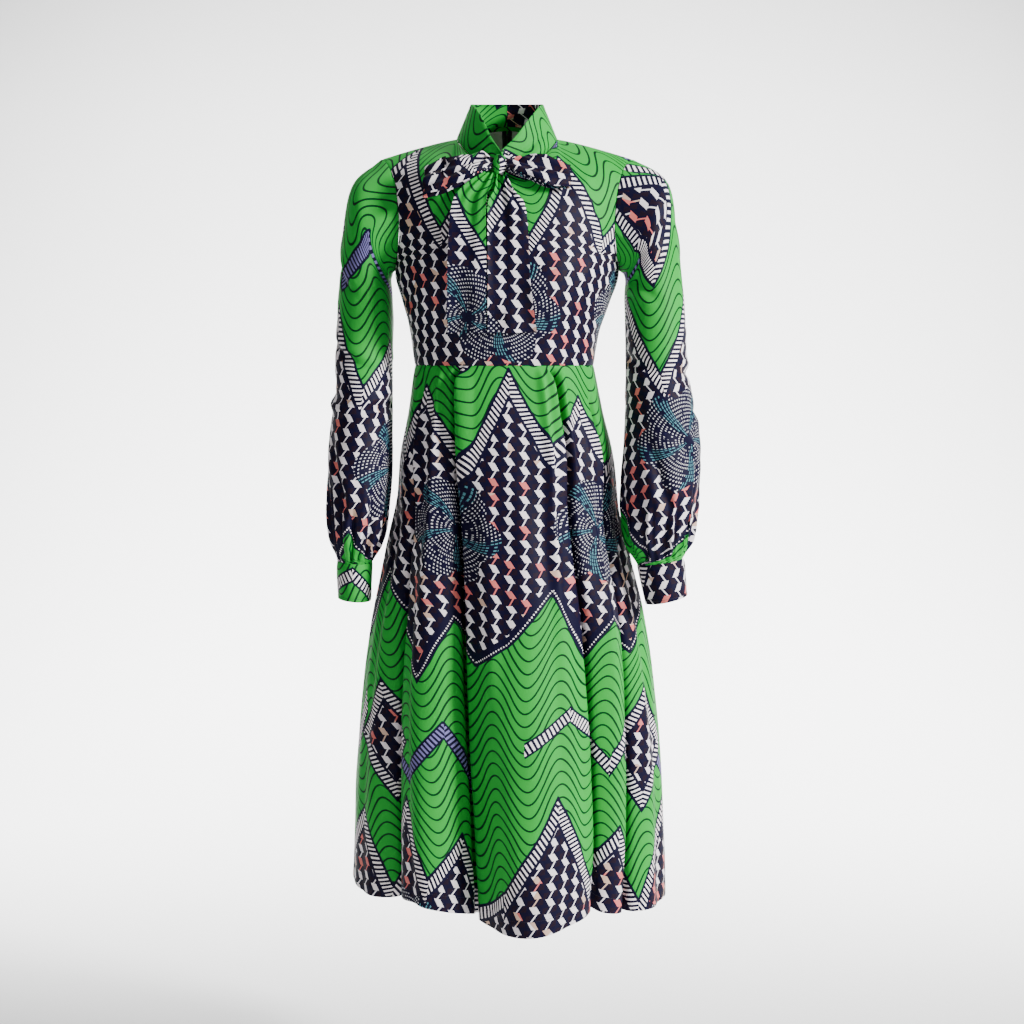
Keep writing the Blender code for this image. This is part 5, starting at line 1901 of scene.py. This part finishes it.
# ---- back neck facing and zip ---------------------------------------------------------------
@dataclass
class BackClosure:
    """Facing inside the back neck, zip tapes with their coil, and the slider's finish."""
    bodice: Bodice
    skirt: Skirt
    facing_cloth: Material
    tape_cloth: Material
    coil_plastic: Material
    metal: Material
    depth: float = 0.0024
    facing_from: float = 0.0080
    facing_v: Pair = (ZIP_V, 0.832)
    facing_u: float = 0.4447
    tape: Pair = (0.0012, 0.0118)
    tape_depth: float = 0.0013
    tape_last_w: float = 0.2727
    tooth_pitch: float = 0.0016
    tooth_radius: float = 0.00055
    tooth_length: float = 0.0038

    def inside(self, distance: Array, level: Array, side: Side, depth: float,
               on_skirt: bool) -> tuple[Array, Array]:
        """Points inside the back near its centre.

        Args:
            distance: Distance from the centre back.
            level: Level of the bodice or the skirt.
            side: Which side of the centre.
            depth: Depth below the outer face.
            on_skirt: Whether they are in the skirt.

        Returns:
            Points and outward normals.
        """
        part, step, fixed = (self.skirt, 0.01, ()) if on_skirt else (self.bodice, STEP, (Panel.BACK,))

        def across(off: Array) -> Array:
            """First parameter of the surface so far from the centre back."""
            return BACK_TURN - off if on_skirt else off
        strip = part.face(across(step), level, *fixed) - part.face(across(0.0), level, *fixed)
        place = side.value * across(distance / (np.linalg.norm(strip, axis=-1) / step))
        away = part.away(place, level, *fixed)
        return part.face(place, level, *fixed) - away * depth, away

    def strip(self, bodice: tuple[Array, Array], skirt: tuple[Array, Array], side: Side,
              depth: float) -> tuple[Array, Array]:
        """Points and normals inside the back, from (distance, level) in the bodice and in the skirt."""
        parts = zip(self.inside(*bodice, side, depth, False), self.inside(*skirt, side, depth, True))
        return tuple(np.concatenate(part) for part in parts)

    def facing(self, side: Side) -> ClothShell:
        """Pale facing from beside the zip to the shoulder seam.

        Args:
            side: Which half.

        Returns:
            The shell.
        """
        share, v = np.meshgrid(np.linspace(0.0, 1.0, 61), np.linspace(*self.facing_v, 25))
        near, _ = self.inside(self.facing_from, v, side, 0.0, on_skirt=False)
        first = np.abs(near[..., 0]) / (self.bodice.neck_half + 0.06)
        u = side.value * (first * 0.55 + (self.facing_u - first * 0.55) * share)
        away = self.bodice.away(u, v, Panel.BACK)
        outer = self.bodice.face(u, v, Panel.BACK) - away * self.depth
        cloth = flat_cloth(outer, 0)
        outer = outer + away * (Wrinkles(150, height=0.0002).relief(cloth))[..., None]
        return ClothShell("back_facing_" + side.label, outer, away, cloth, thickness=0.0009)

    def tape_shell(self, side: Side) -> ClothShell:
        """One tape of the zip.

        Args:
            side: Which tape.

        Returns:
            The shell.
        """
        distance = np.linspace(*self.tape, 9)
        v = np.linspace(ZIP_V, 0.004, 120)
        w = np.linspace(0.006, self.tape_last_w, 90)
        outer, away = self.strip(np.meshgrid(distance, v), np.meshgrid(distance, w), side, self.tape_depth)
        return ClothShell("zip_tape_" + side.label, outer, away, flat_cloth(outer, 0),
                          thickness=0.0008)

    def chain_line(self) -> tuple[Array, Array]:
        """Points down the centre back inside the dress, with outward normals.

        Returns:
            Points and normals.
        """
        v = np.linspace(ZIP_V - 0.01, 0.0, 400)
        w = np.linspace(0.002, self.tape_last_w - 0.01, 300)
        return self.strip((0 * v, v), (0 * w, w), Side.LEFT, self.depth + 0.0005)

    def coil(self) -> Object:
        """Row of interlocked coil teeth, one tooth copied down the chain.

        Returns:
            The piece.
        """
        tooth = rounded_rod("zip_coil", self.tooth_radius, self.tooth_length, 8, self.coil_plastic)
        places = row_places(*self.chain_line(), self.tooth_pitch, lying_across=True)
        swing = [Matrix.Translation((0.0004 if number % 2 else -0.0004, 0.0, 0.0))
                 for number in range(len(places))]
        return copied_piece("zip_coil", tooth, [place @ shift for place, shift in zip(places, swing)])

    def build(self, wardrobe: Wardrobe) -> None:
        """Make the closure and dress the slider and pull.

        Args:
            wardrobe: Takes the pieces.
        """
        for side in Side:
            bodice, at = ["bodice_back_" + side.label], (0.0, 0.0)
            wardrobe.sheet(self.facing(side), Held.LAID, bodice, at, self.facing_cloth)
            wardrobe.sheet(self.tape_shell(side), Held.STRETCHED, bodice, at, self.tape_cloth)
        wardrobe.trim(self.coil())
        for name in ("zip_slider", "zip_pull"):
            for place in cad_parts[name].material_slots:
                place.material = self.metal


@dataclass(frozen=True)
class Stitching:
    """Rows of thread beside the zip, above the hem and round the cuffs."""
    thread: Material
    pitch: float = 0.0032
    length: float = 0.0023
    radius: float = 0.00020
    beside_zip: float = 0.0070
    zip_end_z: float = -0.536

    def sew(self, wardrobe: Wardrobe, name: str, lines: Sequence[tuple[Array, Array]]) -> None:
        """Make rows of stitches as one piece.

        Args:
            wardrobe: Takes the piece.
            name: Name of the piece.
            lines: Points and normals of each row.
        """
        stitch = rounded_rod(name, self.radius, self.length, 6, self.thread)
        places = [place for points, away in lines
                  for place in row_places(points + away * self.radius * 0.5, away, self.pitch)]
        wardrobe.trim(copied_piece(name, stitch, places))

    def build(self, wardrobe: Wardrobe) -> None:
        """Sew every row.

        Args:
            wardrobe: Has the sheets and takes the pieces.
        """
        shells = wardrobe.shells
        for side in Side:
            bodice, skirt = shells["bodice_back_" + side.label], shells["skirt_back_" + side.label]
            beside = []
            first, last = (0, -1) if side is Side.LEFT else (-1, 0)
            for shell, edge in ((bodice, first), (skirt, last)):
                level = np.abs(shell.cloth[..., 0] - shell.cloth[:, [edge], 0])
                points, away = shell.line_at(level, self.beside_zip, across=True)
                held = points[:, 2] > self.zip_end_z
                beside.append((points[held], away[held]))
            self.sew(wardrobe, "zip_stitches_" + side.label, beside)
            cuff = shells["cuff_" + side.label]
            down = cuff.cloth[..., 1]
            self.sew(wardrobe, "cuff_stitches_" + side.label,
                     [cuff.line_at(down, float(down[-1, 0]) - CUFF_STITCH, across=False)])
        for name in ("skirt_front", "skirt_back_left", "skirt_back_right"):
            down = shells[name].cloth[..., 1]
            self.sew(wardrobe, name.replace("skirt", "hem_stitches"),
                     [shells[name].line_at(down, float(down[-1].mean()) - HEM, across=False)])


# ---- small repeated parts -------------------------------------------------------------------
def pick_edges(piece: Object, chosen: Callable[[Vector], bool]) -> None:
    """Select edges of a piece in edit mode by their middle.

    Args:
        piece: Piece in edit mode.
        chosen: Test of an edge's middle point.
    """
    bpy.ops.mesh.select_mode(type="EDGE")
    bpy.ops.mesh.select_all(action="DESELECT")
    mesh = bmesh.from_edit_mesh(piece.data)
    for edge in mesh.edges:
        edge.select_set(chosen((edge.verts[0].co + edge.verts[1].co) / 2))
    bmesh.update_edit_mesh(piece.data)


def round_edges(piece: Object, chosen: Callable[[Vector], bool], offset: float, segments: int,
                material: Material) -> None:
    """Round edges of a piece in edit mode, leave that mode and give the piece its finish.

    Args:
        piece: Piece in edit mode.
        chosen: Test of an edge's middle point.
        offset: Width of the rounding.
        segments: Steps of the rounding.
        material: Finish.
    """
    pick_edges(piece, chosen)
    bpy.ops.mesh.bevel(offset=offset, segments=segments)
    bpy.ops.object.mode_set(mode="OBJECT")
    bpy.ops.object.shade_smooth_by_angle(angle=math.radians(SMOOTH))
    piece.data.materials.append(material)


def rounded_rod(name: str, radius: float, length: float, sides: int,
                material: Material) -> Object:
    """A short rod along x with rounded ends, about its own middle.

    Args:
        name: Name of the object.
        radius: Its radius.
        length: Its length.
        sides: Sides of its section.
        material: Finish.

    Returns:
        The rod.
    """
    bpy.ops.object.select_all(action="DESELECT")
    bpy.ops.mesh.primitive_cylinder_add(vertices=sides, radius=radius, depth=length,
                                        rotation=(0.0, math.pi / 2, 0.0))
    rod = bpy.context.object
    rod.name = name
    bpy.ops.object.transform_apply(location=True, rotation=True, scale=True)
    bpy.ops.object.mode_set(mode="EDIT")
    round_edges(rod, lambda middle: abs(middle.x) > 0.49 * length, 0.45 * radius, 1, material)
    return rod


def row_places(points: Array, away: Array, pitch: float, lying_across: bool = False) -> list[Matrix]:
    """Even places along a line, each turned to the line and the surface.

    Args:
        points: Points of the line.
        away: Normals there.
        pitch: Distance between places.
        lying_across: Whether x points across the line, not along it.

    Returns:
        One placing matrix for each.
    """
    run = np.concatenate([[0.0], np.cumsum(np.linalg.norm(np.diff(points, axis=0), axis=-1))])
    at = np.arange(pitch / 2, run[-1], pitch)
    even, out = (np.stack([np.interp(at, run, grid[:, axis]) for axis in range(3)], axis=-1)
                 for grid in (points, away))
    along = unit(np.gradient(even, axis=0))
    across = unit(np.cross(along, out))
    out = np.cross(across, along)
    first, second = (across, along) if lying_across else (along, -across)
    places = np.zeros((len(at), 4, 4))
    places[:, :3, 0], places[:, :3, 1], places[:, :3, 2], places[:, :3, 3] = first, second, out, even
    places[:, 3, 3] = 1.0
    return [Matrix(place.tolist()) for place in places]


def copied_piece(name: str, part: Object, places: Sequence[Matrix]) -> Object:
    """One piece from copies of a small part, each with its own mesh.

    Args:
        name: Name of the piece.
        part: The part, which is used up.
        places: Place of each copy.

    Returns:
        The piece.
    """
    bpy.ops.object.select_all(action="DESELECT")
    copies = []
    for place in places:
        copies.append(part.copy())
        copies[-1].data = part.data.copy()
        copies[-1].data.transform(place)
        bpy.context.scene.collection.objects.link(copies[-1])
        copies[-1].select_set(True)
    bpy.data.objects.remove(part)
    bpy.context.view_layer.objects.active = copies[0]
    bpy.ops.object.join()
    copies[0].name = name
    return copies[0]


# ---- studio ---------------------------------------------------------------------------------
@dataclass
class Studio:
    """Pale floor that sweeps up behind, soft lights and the camera."""
    centre: Triple = (0.0072, 0.0, DRESS_CENTRE)
    camera_at: Triple = (0.0072, -2.6, -0.300)
    lens: float = 63.1
    sky: float = 0.17
    floor_z: float = -1.50
    sweep_to: float = 4.2
    sweep_radius: float = 2.0
    wall: float = 6.0
    floor_half: float = 6.0

    def floor(self) -> None:
        """Floor with a curved rise behind it."""
        graph = Graph("pale floor")
        patch = graph.noise(graph.object_place(), 1.3, 2.0)
        tone = 0.92 + (patch - 0.5) * 0.02
        material = graph.finish(graph.join(tone, tone, tone), 0.85 + (patch - 0.5) * 0.05)
        depth = self.sweep_to + self.floor_half
        bpy.ops.object.select_all(action="DESELECT")
        bpy.ops.mesh.primitive_plane_add(size=1.0, location=(0.0, self.sweep_to - depth / 2, self.floor_z))
        floor = bpy.context.object
        floor.name = "floor"
        floor.scale = (2 * self.floor_half, depth, 1.0)
        bpy.ops.object.transform_apply(location=True, rotation=True, scale=True)
        bpy.ops.object.mode_set(mode="EDIT")

        def at_back(middle: Vector) -> bool:
            """Whether an edge is where the floor meets the wall."""
            return middle.y > self.sweep_to - CLOSE and middle.z < self.floor_z + CLOSE
        pick_edges(floor, at_back)
        bpy.ops.mesh.extrude_region_move(TRANSFORM_OT_translate={"value": (0.0, 0.0, self.wall)})
        round_edges(floor, at_back, self.sweep_radius, 16, material)

    def place(self, data: bpy.types.ID, at: Triple,
              towards: Triple) -> Object:
        """Add a lamp or camera that faces a place.

        Args:
            data: Its data.
            at: Its place.
            towards: The place it faces.

        Returns:
            The object.
        """
        thing = bpy.data.objects.new(data.name, data)
        thing.location = at
        thing.rotation_euler = (Vector(towards) - Vector(at)).to_track_quat("-Z", "Y").to_euler()
        bpy.context.scene.collection.objects.link(thing)
        return thing

    def lamp(self, name: str, at: Triple, size: float, power: float,
             towards: Triple = (0.0, 0.0, DRESS_CENTRE), beam: float = 180.0) -> None:
        """Square soft light.

        Args:
            name: Name of the light.
            at: Its place.
            size: Its side in metres.
            power: Its power in watts.
            towards: The place it faces.
            beam: Width of its beam in degrees.
        """
        data = bpy.data.lights.new(name, "AREA")
        data.spread = math.radians(beam)
        data.size = size
        data.energy = power
        self.place(data, at, towards)

    def build(self) -> None:
        """Make the floor, the lights and the camera."""
        self.floor()
        self.lamp("key", (3.1, -1.8, 1.0), 0.65, 345.0)
        self.lamp("fill", (-2.0, -2.6, 0.2), 1.8, 13.0)
        self.lamp("top", (-0.3, 0.5, 1.9), 1.2, 30.0)
        for side in Side:
            self.lamp("backdrop " + side.label, (1.7 * side.value, 1.2, 0.9), 0.9, 165.0,
                      (0.5 * side.value, 3.3, -1.4), 115.0)
        world = bpy.data.worlds.new("studio")
        world.use_nodes = True
        sky = world.node_tree.nodes["Background"].inputs
        sky["Color"].default_value = (1.0, 1.0, 1.0, 1.0)
        sky["Strength"].default_value = self.sky
        bpy.context.scene.world = world
        data = bpy.data.cameras.new("camera")
        data.sensor_fit = "HORIZONTAL"
        data.sensor_width = 36.0
        data.lens = self.lens
        bpy.context.scene.camera = self.place(data, self.camera_at, self.centre)


# ---- sleeves' own sizes ---------------------------------------------------------------------
RIGHT_SECTIONS = table(
    Section, (0.1, 0.1655, -0.193, 0.2195, -0.0634, 0.003, 0.062),
    (0.2, 0.167, -0.202, 0.235, -0.13, 0.003, 0.061), (0.3, 0.165, -0.22, 0.24, -0.19, 0.001, 0.06),
    (0.42, 0.1635, -0.264, 0.244, -0.25, -0.004, 0.06),
    (0.55, 0.164, -0.34, 0.2455, -0.335, -0.014, 0.061), (0.7, 0.164, -0.43, 0.254, -0.43, -0.028, 0.065),
    (0.82, 0.166, -0.5, 0.256, -0.5, -0.038, 0.067), (0.92, 0.176, -0.562, 0.2505, -0.56, -0.044, 0.058),
    (1.0, 0.1925, -0.603, 0.243, -0.6, -0.046, 0.038))
RIGHT_CUFF_END = Section(1.0, 0.1950, -0.6575, 0.2420, -0.6530, -0.048, 0.037)
LEFT_SECTIONS = table(
    Section,
    (0.1, 0.168, -0.193, 0.228, -0.06, 0.003, 0.062), (0.2, 0.17, -0.202, 0.243, -0.125, 0.003, 0.061),
    (0.3, 0.169, -0.22, 0.2495, -0.185, 0.001, 0.06), (0.42, 0.17, -0.264, 0.256, -0.245, -0.004, 0.06),
    (0.55, 0.1705, -0.34, 0.26, -0.33, -0.014, 0.061), (0.7, 0.167, -0.43, 0.275, -0.42, -0.03, 0.064),
    (0.82, 0.162, -0.505, 0.2735, -0.495, -0.041, 0.066),
    (0.92, 0.1665, -0.564, 0.265, -0.556, -0.046, 0.058),
    (1.0, 0.186, -0.606, 0.252, -0.596, -0.048, 0.036))
LEFT_CUFF_END = Section(1.0, 0.1985, -0.6620, 0.2580, -0.6490, -0.050, 0.035)
RIGHT_CREASES = table(
    Crease, (0.02, 0.12, 62, 0.09, 0.0065, -0.003, 0.008), (0.05, 0.23, 70, 0.1, 0.007, -0.0032, 0.01),
    (-0.03, 0.27, 100, 0.085, 0.0065, -0.0028, -0.008), (0.03, 0.3, 78, 0.11, 0.0075, 0.0026, 0.008),
    (-0.05, 0.34, 60, 0.09, 0.007, -0.0024), (0.06, 0.41, 24, 0.12, 0.0085, -0.0034, 0.008),
    (-0.04, 0.44, -12, 0.13, 0.0085, -0.0034, -0.006), (0.01, 0.47, 6, 0.12, 0.008, 0.0028),
    (-0.1, 0.42, 18, 0.12, 0.0085, -0.0032), (0.12, 0.3, 104, 0.1, 0.0075, -0.003),
    (-0.12, 0.25, 72, 0.1, 0.0075, -0.003), (-0.11, 0.12, 40, 0.08, 0.007, -0.0026))
LEFT_CREASES = table(
    Crease,
    (-0.03, 0.11, -58, 0.09, 0.0065, -0.0028, -0.008), (-0.06, 0.21, -74, 0.095, 0.007, -0.0032, -0.01),
    (0.02, 0.26, 96, 0.09, 0.0065, -0.0026, 0.008), (-0.02, 0.33, -66, 0.11, 0.0075, -0.0028, -0.008),
    (0.05, 0.36, -40, 0.1, 0.007, 0.0024), (-0.05, 0.43, -20, 0.13, 0.0085, -0.0036, -0.008),
    (0.04, 0.45, 10, 0.13, 0.0085, -0.0034, 0.006), (-0.01, 0.48, -4, 0.12, 0.008, 0.0028),
    (0.1, 0.41, -16, 0.12, 0.0085, -0.0032), (-0.12, 0.31, -100, 0.1, 0.0075, -0.003),
    (0.12, 0.24, -70, 0.1, 0.0075, -0.003), (0.11, 0.12, -42, 0.08, 0.007, -0.0026))


def main() -> None:
    """Build the dress, dress it and set up the studio."""
    logging.basicConfig(level=logging.INFO, format="%(name)s: %(message)s")
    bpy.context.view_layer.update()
    wardrobe = Wardrobe(WaxPrint().build())
    bodice, skirt = Bodice(), Skirt()
    bodice.build(wardrobe)
    skirt.build(wardrobe)
    Sleeve(Side.RIGHT, bodice, RIGHT_SECTIONS, RIGHT_CUFF_END, RIGHT_CREASES, (0.307, 0.228),
           (0.040, 0.235), 31).build(wardrobe)
    Sleeve(Side.LEFT, bodice, LEFT_SECTIONS, LEFT_CUFF_END, LEFT_CREASES, (0.187, 0.266),
           (0.300, 0.500), 33).build(wardrobe)
    Collar(bodice).build(wardrobe)
    Bow(bodice).build(wardrobe)
    BackClosure(
        bodice, skirt, FacingCloth().build(), ZipTapeCloth().build(),
        PlainPart("zip coil plastic", ink(24, 24, 28), ink(52, 52, 60), 0.45).build(),
        PlainPart("satin zip metal", ink(176, 178, 182), ink(128, 130, 136), 0.32, 1.0, 2600.0).build(),
    ).build(wardrobe)
    thread = PlainPart("dark thread", ink(18, 16, 34), ink(40, 36, 60), 0.70, grain=4000.0).build()
    Stitching(thread).build(wardrobe)
    Studio().build()
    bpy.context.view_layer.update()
    LOG.info("%d pieces made", len(wardrobe.made))


if __name__ == "__main__":
    main()
